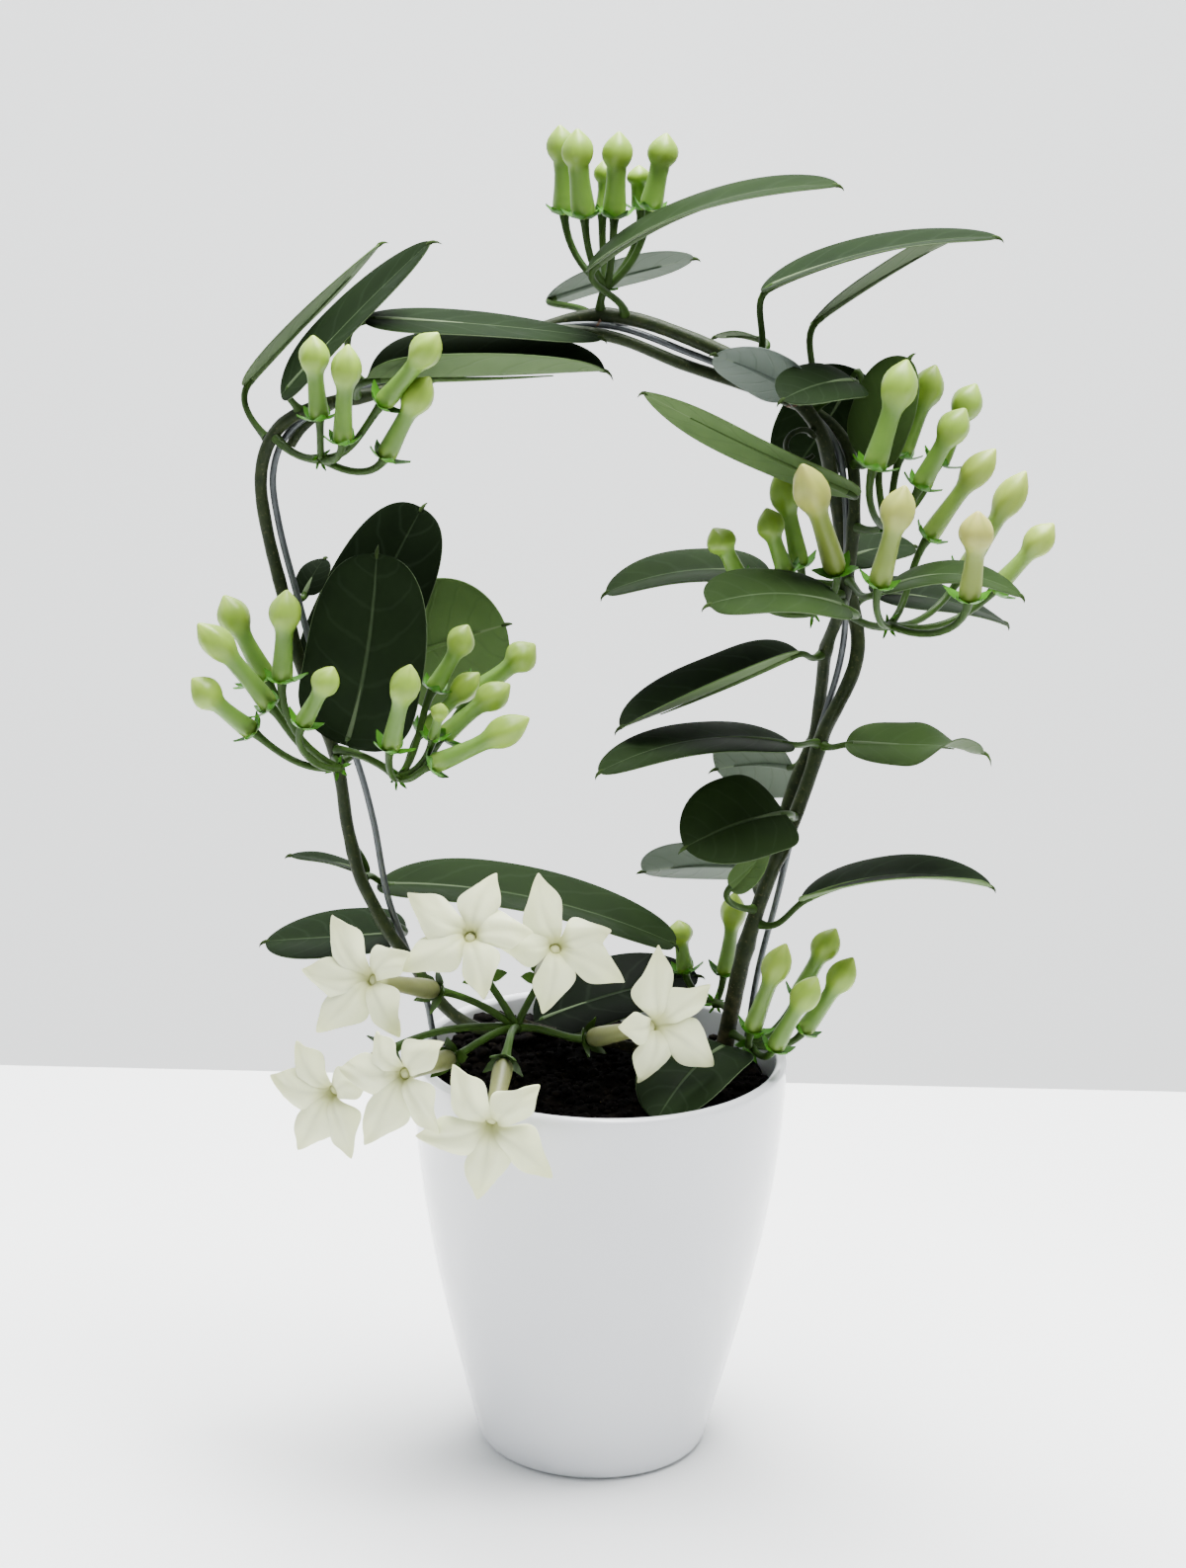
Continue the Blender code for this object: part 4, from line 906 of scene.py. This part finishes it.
# over the pot
makeLeaf("pot_long_green", "main", (-85, 2, 212), (-75, 13, 207), (26, 0, 191), 43, 3, 6, 12,
         tone=0.1, point=-0.5)
makeLeaf("pot_dark_inner", "twig", (-12, 10, 148), (-21, 21, 154), (35, 29, 169), 42, 13, 2, 12,
         tone=-1.0)
makeLeaf("pot_front_right", "main", (43, 1, 146), (43, -12, 157), (20, -50, 144), 36, (-1, -3, 8), 4, 14,
         tone=-0.2)
print("leaves made")


budForm = {
    "sides": 20,
    # share of the way from calyx to tip, radius; the tube ends and the head begins at tubeEnd
    "profile": [(0.0, 1.8), (0.015, 2.7), (0.06, 3.3), (0.13, 3.35), (0.22, 3.15), (0.34, 2.9),
                (0.46, 2.75), (0.54, 2.85), (0.59, 3.35), (0.63, 4.1), (0.68, 4.8), (0.74, 5.1),
                (0.8, 4.95), (0.855, 4.35), (0.905, 3.3), (0.945, 2.15), (0.975, 1.25), (0.992, 0.7),
                (1.0, 0.25)],
    "tubeEnd": 0.55,
}


def addBud(bm, centre, calyx, tip, girth, ripe, seed, stout):
    line = tip - calyx
    axis = line.normalized()
    reach = (calyx - centre).length
    leave = ((calyx - centre).normalized() + Vector((0, 0, -0.55))).normalized()
    pedicel = bezierPath(centre, centre + leave * reach * 0.4, calyx - axis * reach * 0.33,
                         calyx + axis * 0.6, 10)
    thick = [1.25 + 0.15 * math.exp(-k / 1.5) + 0.7 * math.exp(-(10 - k) / 0.9) for k in range(11)]
    addStalk(bm, pedicel, thick, 1, 9)
    # tube and head, with the five twisted seams of the closed lobes; a bud leans a little to one side
    side = axis.orthogonal().normalized()
    over = side.cross(axis)
    sides = budForm["sides"]
    lean = 0.9 * math.sin(seed * 1.7)
    rings, along, seams = [], [], []
    for share, radius in budForm["profile"]:
        head = max(0.0, (share - 0.5) / 0.5)
        middle = calyx + line * share + side * lean * math.sin(math.pi * share)
        ring, marks = [], []
        wide = girth * radius * (stout if share < budForm["tubeEnd"] else 1.0)
        for k in range(sides):
            a = math.tau * k / sides
            wave = math.cos(5 * (a + seed) + 3.4 * head)
            r = wide * (1 + (0.2 * head * (1 - head) + 0.015) * wave)
            ring.append(middle + r * (math.cos(a) * side + math.sin(a) * over))
            marks.append(max(0.0, -wave) ** 4 * head)
        rings.append(ring)
        along.append(share)
        seams.append(marks)
    addLoft(bm, rings, 0, {"along": along, "seam": seams, "ripe": [ripe] * len(rings)})
    addStar(bm, calyx + axis * 0.6, axis, 5, 5.2 * girth, 5.0 * girth, 3.2, 2, seed, 2.1)


def makeBuds(node, stem, near, centre, buds, bract=3.0, ripe=0.0, stout=1.0):
    # one umbel, whose pedicels part at its centre; a bud is (calyx, tip, girth) and, where it differs
    # from the umbel's, how ripe it is; stout widens the tubes
    centre = Vector(centre)
    start, out = seatOn(stems[stem], Vector(near), centre)
    reach = (centre - start).length
    bm = bmesh.new()
    for name in ("along", "seam", "ripe"):
        bm.verts.layers.float.new(name)
    path = bezierPath(start, start + out * reach * 0.4,
                      start + out * reach * 0.3 + (centre - start) * 0.5, centre, 8)
    addStalk(bm, path, [1.9, 1.6, 1.4, 1.35, 1.35, 1.35, 1.45, 1.7, 1.9], 1, 12)
    for i, bud in enumerate(buds):
        calyx, tip, girth = Vector(bud[0]), Vector(bud[1]), bud[2]
        addBud(bm, centre, calyx, tip, girth, bud[3] if len(bud) > 3 else ripe, i * 1.3 + reach, stout)
    # little bracts where the pedicels part
    addStar(bm, centre, (centre - start).normalized(), 6, bract, 0.5 * bract, 0.5 * bract, 2, reach)
    item = meshObject(node + "Umbel", bm, ["bud", "stalk", "calyx"], 60)
    standFor(item, node)


makeBuds("crown_buds", "main", (-5, 2, 416), (-4, 0, 426), [
    ((-19, 9, 449), (-21, 9, 479), 1.0), ((-12, -6, 450), (-15, -7, 480), 1.05),
    ((-2, -4, 450), (-1, -4, 479), 1.0), ((-6, 10, 449), (-6, 12, 467), 0.7),
    ((7, 10, 451), (6, 10, 466), 0.75), ((10, 2, 452), (15, 2, 478), 1.0)], ripe=-0.5, stout=1.18)
makeBuds("upper_left_buds", "main", (-113, -4, 371), (-99, -20, 369), [
    ((-99, -28, 384), (-101, -31, 413), 1.0), ((-91, -33, 377), (-89, -35, 411), 1.0),
    ((-78, -35, 391), (-59, -43, 417), 1.05), ((-77, -32, 372), (-62, -36, 401), 1.05)])
makeBuds("left_buds", "main", (-93, -4, 258), (-93, -20, 260), [
    ((-116, -20, 281), (-141, -22, 311), 1.05), ((-119, -2, 286), (-134, -2, 316), 1.1),
    ((-112, -26, 292), (-110, -28, 325), 1.1), ((-122, -20, 272), (-143, -24, 292), 1.05),
    ((-125, 8, 282), (-143, 14, 301), 0.95), ((-104, -41, 281), (-93, -45, 303), 0.95)])
makeBuds("left_inner_buds", "main", (-92, -2, 262), (-72, -24, 258), [
    ((-74, -41, 273), (-67, -47, 305), 1.0), ((-61, -14, 287), (-49, -12, 310), 0.95),
    ((-46, -4, 284), (-26, -2, 301), 1.1), ((-65, -14, 271), (-45, -12, 293), 0.9),
    ((-57, -24, 273), (-34, -22, 292), 1.0), ((-61, -32, 265), (-27, -32, 283), 1.05),
    ((-60, -30, 274), (-57, -34, 288), 0.6)])
makeBuds("right_low_buds", "second", (82, 4, 314), (95, -22, 316), [
    ((89, -45, 335), (96, -50, 371), 1.15, 0.8), ((119, -49, 332), (120, -55, 364), 1.15, 1.0),
    ((108, -4, 342), (130, -3, 374), 1.0, 0.25), ((122, 8, 327), (142, 8, 364), 1.05, 0.3),
    ((131, -8, 325), (151, -6, 349), 1.0, 0.25)])
makeBuds("right_inner_buds", "second", (79, 5, 320), (69, -12, 317), [
    ((76, -25, 335), (62, -44, 376), 1.2, 0.9), ((65, -4, 331), (56, -4, 365), 1.0),
    ((60, -14, 331), (52, -14, 354), 0.95), ((44, -20, 329), (34, -20, 348), 1.0)], ripe=-0.8)
makeBuds("right_high_buds", "second", (83, 2, 344), (93, -12, 348), [
    ((86, -36, 373), (96, -34, 410), 1.2), ((91, -4, 371), (98, -3, 403), 1.0),
    ((98, 3, 369), (109, 5, 401), 1.05), ((111, 2, 367), (123, 4, 395), 1.05),
    ((103, -22, 364), (117, -24, 392), 1.05)], ripe=-0.3)
makeBuds("pot_buds", "main", (46, 2, 158), (53, -8, 157), [
    ((53, -20, 166), (64, -22, 200), 1.0, 0.1), ((70, 4, 170), (83, 4, 197), 1.0),
    ((72, -4, 160), (89, -4, 189), 1.0), ((61, -24, 161), (75, -28, 190), 1.0)], 6.5)
makeBuds("pot_back_buds", "main", (47, 3, 166), (41, 11, 165), [
    ((44, 16, 174), (47, 15, 206), 0.9), ((30, 15, 175), (27, 15, 195), 0.9)])
print("buds made")


flowerForm = {
    "throat": 2.3, "funnel": 2.2,                   # radius of the throat, and how deep it sinks
    "flare": 0.16,                                  # share of a lobe that is still joined to the others
    "rows": 14, "columns": 6, "thickness": 0.75,
    # share of the lobe's length, half width in mm for a lobe 25 mm long
    "lobe": [(0.0, 2.3), (0.08, 3.9), (0.18, 5.6), (0.3, 6.9), (0.42, 7.3), (0.54, 6.6), (0.66, 5.1),
             (0.77, 3.5), (0.86, 2.2), (0.93, 1.2), (0.98, 0.45), (1.0, 0.12)],
    # share of the way from the throat down to the calyx, radius
    "tube": [(0.0, 2.3), (0.12, 1.9), (0.22, 1.8), (0.36, 1.9), (0.55, 2.2), (0.72, 2.6), (0.88, 2.9),
             (0.97, 2.6), (1.0, 1.4)],
    "plugDepth": 3.9, "plugRadius": 1.9,            # the fused stamens that close the throat
}
heart = Vector((-30, -19, 165))             # where the umbel's pedicels part
flowers = [
    # calyx, middle of the face, direction that it looks, each lobe's angle and length
    ((-58, -31, 183), (-81, -54, 195), (-4, -9, 2), [(38, 19), (133, 26), (184, 27), (231, 29), (306, 23)]),
    ((-41, -28, 188), (-46, -56, 213), (-1, -9, 4), [(6, 22), (71, 23), (151, 26), (212, 27), (287, 23)]),
    ((-21, -20, 185), (-16, -44, 205), (1, -9, 3), [(16, 20), (104, 26), (176, 22), (259, 24), (332, 27)]),
    ((-52, -47, 164), (-68, -77, 169), (-5, -8, 1), [(45, 21), (139, 18), (190, 28), (243, 33), (311, 24)]),
    ((-74, -32, 160), (-94, -56, 153), (-4, -8, 1), [(27, 17), (134, 22), (177, 25), (242, 27), (295, 24)]),
    ((-33, -60, 168), (-37, -86, 154), (-1, -9, 0), [(45, 23), (123, 25), (194, 27), (262, 28), (321, 28)]),
    ((-4, -30, 166), (20, -47, 178), (3, -9, 0), [(32, 23), (90, 28), (180, 15), (255, 23), (320, 30)]),
]


def between(table, share):                  # the radius or width that the table gives at a share
    for (s0, r0), (s1, r1) in zip(table, table[1:]):
        if share <= s1:
            return r0 + (r1 - r0) * (share - s0) / (s1 - s0)
    return table[-1][1]


def makeFlower(number, calyx, face, looks, lobes):
    # one corolla: a sheet that runs from the lobes through the throat down the tube, then thickened
    calyx, face = Vector(calyx), Vector(face)
    looks = Vector(looks).normalized()
    right = Vector((0, 0, 1)).cross(looks).normalized()
    up = looks.cross(right)
    bm = bmesh.new()
    radial = bm.verts.layers.float.new("radial")
    creaseShade = bm.verts.layers.float.new("creaseShade")
    columns, rows = flowerForm["columns"], flowerForm["rows"]
    throat, funnel, flare = flowerForm["throat"], flowerForm["funnel"], flowerForm["flare"]
    count = len(lobes)
    angles = [angle for angle, _ in lobes]
    rim = []                                        # angles of the throat ring, where the tube begins
    for i, (angle, length) in enumerate(lobes):
        before = angles[i - 1] - (360 if i == 0 else 0)
        after = angles[(i + 1) % count] + (360 if i + 1 == count else 0)
        low, high = (before + angle) / 2, (angle + after) / 2       # its share of the ring
        aim = math.radians(angle)
        out = math.cos(aim) * right + math.sin(aim) * up
        along = -math.sin(aim) * right + math.cos(aim) * up
        scale = 0.62 + 0.38 * length / 25                           # a short lobe is narrower
        lean = 1.1 * math.sin(number * 2.3 + i * 1.9)               # its tip leans forward or back,
        swirl = 1.2 + 0.5 * math.sin(number * 1.7 + i * 2.6)        # and its middle sweeps sideways
        grid = []
        for k in range(rows + 1):
            s = (k / rows) ** 0.9
            ring = []
            for j in range(-columns, columns + 1):
                c = j / columns
                a = math.radians(low + (high - low) * (c + 1) / 2)
                ray = math.cos(a) * right + math.sin(a) * up
                start = face + throat * ray - looks * funnel
                r = throat + (length - throat) * s
                half = between(flowerForm["lobe"], s) * scale
                half *= 1 + 0.2 * c * math.sin(2 * math.pi * min(1.0, s * 1.1))     # fuller on one side
                w = half * math.sin(math.pi / 2 * c)
                arch = 1.4 * math.sin(math.pi * min(1.0, s * 1.25)) - 0.0035 * r * r
                cup = 0.062 * w * w * math.sin(math.pi * min(1, s + 0.15))
                cup *= 1 + 0.25 * math.sin(i * 2.1 + number)
                channel = 0.9 * math.exp(-(w / 1.2) ** 2) * (1 - s) ** 0.7
                tilt = 0.16 * w * math.cos(0.6 + 1.6 * s)
                ripple = 0.4 * math.sin(w * 0.9 + s * 6 + i + number)
                tip = 12.8 * max(0.0, s - 0.75) ** 2                # it bends back
                # the lobe rises in an arch, its edges curve back, its middle is a channel
                lift = arch - cup - channel + (tilt + ripple) * min(1, s * 3) + lean * s * s - tip
                spot = face + out * r + along * (w + swirl * math.sin(math.pi * s) - 0.4 * s) + looks * lift
                # near the throat, where the lobes are still joined, a point follows the funnel instead
                free = min(1.0, s / flare)
                fan = start + 0.9 * (r - throat) * ray + looks * (funnel * free + lift * s * 4)
                vert = bm.verts.new(fan.lerp(spot, free * free * (3 - 2 * free)) if k else start)
                vert[radial] = s
                # strength of the painted crease shade, along the lobe's middle and fading towards its tip
                vert[creaseShade] = math.exp(-(w / 0.5) ** 2) * (1 - s) if k else 0.0
                ring.append(vert)
            grid.append(ring)
        for lower, upper in zip(grid, grid[1:]):
            for m in range(2 * columns):
                bm.faces.new((lower[m], upper[m], upper[m + 1], lower[m + 1]))
        rim += [math.radians(low + (high - low) * m / (2 * columns)) for m in range(2 * columns)]
    # tube, from the throat back to the calyx; it turns from the way the face looks to its own line
    axis = (calyx - face).normalized()
    length = (calyx - face).length
    side = (right - right.dot(axis) * axis).normalized()
    over = (up - up.dot(axis) * axis - up.dot(side) * side).normalized()
    last = None
    for share, radius in flowerForm["tube"]:
        ring = []
        settle = min(1.0, share / 0.14)
        middle = face + axis * (length - 0.4) * share - looks * funnel * (1 - settle)
        for a in rim:
            flat = math.cos(a) * right + math.sin(a) * up
            square = math.cos(a) * side + math.sin(a) * over
            vert = bm.verts.new(middle + radius * flat.lerp(square, settle))
            vert[radial] = -share
            ring.append(vert)
        if last:
            for m in range(len(ring)):
                n = (m + 1) % len(ring)
                bm.faces.new((ring[m], last[m], last[n], ring[n]))
        last = ring
    bmesh.ops.remove_doubles(bm, verts=bm.verts, dist=0.02)
    item = meshObject(f"corolla{number}", bm, ["petal"], 80)
    shell = item.modifiers.new("thickness", "SOLIDIFY")
    shell.thickness = flowerForm["thickness"] * mm
    shell.offset = -1
    smooth = item.modifiers.new("smooth", "SUBSURF")
    smooth.levels = smooth.render_levels = 1
    applyModifiers(item)
    # the fused stamens, a little way down the throat
    bpy.ops.mesh.primitive_uv_sphere_add(segments=20, ring_count=10, radius=1)
    plug = bpy.context.object
    turn = axis.to_track_quat("Z", "Y")
    size = Vector((flowerForm["plugRadius"], flowerForm["plugRadius"], 1.1))
    for vert in plug.data.vertices:
        vert.co = (face + axis * flowerForm["plugDepth"] + turn @ (vert.co * size)) * mm
    plug.data.materials.append(finish["petal"])
    shade = plug.data.attributes.new("radial", "FLOAT", "POINT")
    shade.data.foreach_set("value", [-0.12] * len(plug.data.vertices))
    item = joinAll(f"corolla{number}", [item, plug])
    item.data.shade_smooth()
    standFor(item, f"flower_{number}")


def makeFlowerStalks():
    start, out = seatOn(stems["main"], Vector((-36, -15, 163)), heart)
    bm = bmesh.new()
    addStalk(bm, [start, start + out * 2, heart], [1.9, 1.8, 2.2], 0, 12)
    for i, (calyx, face, _, _) in enumerate(flowers):
        calyx = Vector(calyx)
        axis = (Vector(face) - calyx).normalized()
        reach = (calyx - heart).length
        leave = ((calyx - heart).normalized() + Vector((0, 0, 0.3))).normalized()
        path = bezierPath(heart, heart + leave * reach * 0.4, calyx - axis * reach * 0.35,
                          calyx - axis * 0.2, 12)
        radii = [1.3 + 0.5 * math.exp(-k / 1.5) + 1.2 * math.exp(-(12 - k) / 1.0) for k in range(13)]
        addStalk(bm, path, radii, 0, 12)
        addStar(bm, calyx - axis * 0.3, axis, 5, 5.8, 5.0, 4.2, 0, i * 0.9, 2.2)
    item = meshObject("flowerStalks", bm, ["stalk"], 60)
    standFor(item, "flower_stalks")


makeFlowerStalks()
for number, row in enumerate(flowers, 1):
    makeFlower(number, *row)
print("flowers made")


# the table's front and back edges, half its width and its thickness, and the wall's distance and glow
stage = {"front": -1500, "edge": 354, "halfWidth": 900, "thickness": 30, "wall": 1900, "glow": 1.35}


def laminateMaterial():
    # white laminate: even, faintly uneven in the gloss
    material, tree = newMaterial("White laminate")
    place = addNode(tree, "TexCoord", out="Object")
    cloud = addNode(tree, "TexNoise", {"Vector": place, "Scale": 1 / (180 * mm), "Detail": 2})
    grain = addNode(tree, "TexNoise", {"Vector": place, "Scale": 1 / (4 * mm), "Detail": 2})
    return shown(material, addNode(tree, "BsdfPrincipled", {
        "Base Color": addNode(tree, "Mix", {0: cloud, 6: "#f0f1f1", 7: "#f6f7f7"}, **blend),
        "Roughness": 0.35,
        "Normal": addNode(tree, "Bump", {"Height": grain, "Distance": 0.02 * mm, "Strength": 0.3})}))


def plasterMaterial():
    # matt paint on a wall that is lit all over, so it glows evenly
    material, tree = newMaterial("Pale wall paint")
    place = addNode(tree, "TexCoord", out="Object")
    cloud = addNode(tree, "TexNoise", {"Vector": place, "Scale": 1 / (300 * mm), "Detail": 3})
    return shown(material, addNode(tree, "BsdfPrincipled", {
        "Base Color": addNode(tree, "Mix", {0: cloud, 6: "#d9dbda", 7: "#dfe0df"}, **blend),
        "Roughness": 0.8, "Emission Color": "#e4e6e7", "Emission Strength": stage["glow"]}))


def makeStage():
    bpy.ops.mesh.primitive_cube_add(size=1)
    table = bpy.context.object
    table.name = "tableTop"
    for vert in table.data.vertices:
        edge = stage["front" if vert.co.y < 0 else "edge"]
        depth = -stage["thickness"] if vert.co.z < 0 else 0
        vert.co = Vector((vert.co.x * 2 * stage["halfWidth"], edge, depth)) * mm
    bpy.ops.mesh.primitive_plane_add(size=1)
    wall = bpy.context.object
    wall.name = "wall"
    for vert in wall.data.vertices:
        vert.co = Vector((vert.co.x * 10000, stage["wall"], 1000 + vert.co.y * 7000)) * mm
    table.data.materials.append(laminateMaterial())
    wall.data.materials.append(plasterMaterial())


# name, place and target in metres, width and height, watts, colour
softLights = [
    ("ceiling", (0.1, 0.12, 1.5), (0, 0.05, 0.1), (1.2, 0.7), 124, "#ffffff"),
    ("window", (-1.3, 0.25, 0.9), (0, 0.3, 0.3), (0.8, 1.0), 7, "#f6f9ff"),
    ("room", (1.5, -0.5, 0.8), (0, 0, 0.2), (1.0, 1.0), 2, "#fffdf8"),
]
ambient = {"colour": "#e9edf0", "strength": 0.55}
view = {"place": (-0.0048, -1.3, 0.65), "pitch": 17.1, "roll": 1.3, "lens": 88.8, "film": 36}


def makeLights():
    for name, where, target, size, power, colour in softLights:
        lamp = bpy.data.lights.new(name, "AREA")
        lamp.shape = "RECTANGLE"
        lamp.size, lamp.size_y = size
        lamp.energy = power
        lamp.color = linearColour(colour)[:3]
        item = bpy.data.objects.new(name, lamp)
        bpy.context.scene.collection.objects.link(item)
        item.location = where
        item.rotation_euler = (Vector(target) - Vector(where)).to_track_quat("-Z", "Y").to_euler()
    world = bpy.data.worlds.new("room light")
    bpy.context.scene.world = world
    world.use_nodes = True
    background = world.node_tree.nodes["Background"]
    background.inputs["Color"].default_value = linearColour(ambient["colour"])
    background.inputs["Strength"].default_value = ambient["strength"]


def makeCamera():
    # looks down by pitch and leans by roll
    pitch, roll = math.radians(view["pitch"]), math.radians(view["roll"])
    forward = Vector((0, math.cos(pitch), -math.sin(pitch)))
    level = Vector((0, math.sin(pitch), math.cos(pitch)))
    right = Vector((1, 0, 0)) * math.cos(roll) + level * math.sin(roll)
    up = Vector((-1, 0, 0)) * math.sin(roll) + level * math.cos(roll)
    lens = bpy.data.cameras.new("camera")
    lens.sensor_fit = "VERTICAL"
    lens.sensor_height = view["film"]
    lens.lens = view["lens"]
    camera = bpy.data.objects.new("camera", lens)
    bpy.context.scene.collection.objects.link(camera)
    turn = Matrix((right, up, -forward)).transposed()
    camera.matrix_world = Matrix.Translation(view["place"]) @ turn.to_4x4()
    bpy.context.scene.camera = camera


makeStage()
makeLights()
makeCamera()
print("stage made")
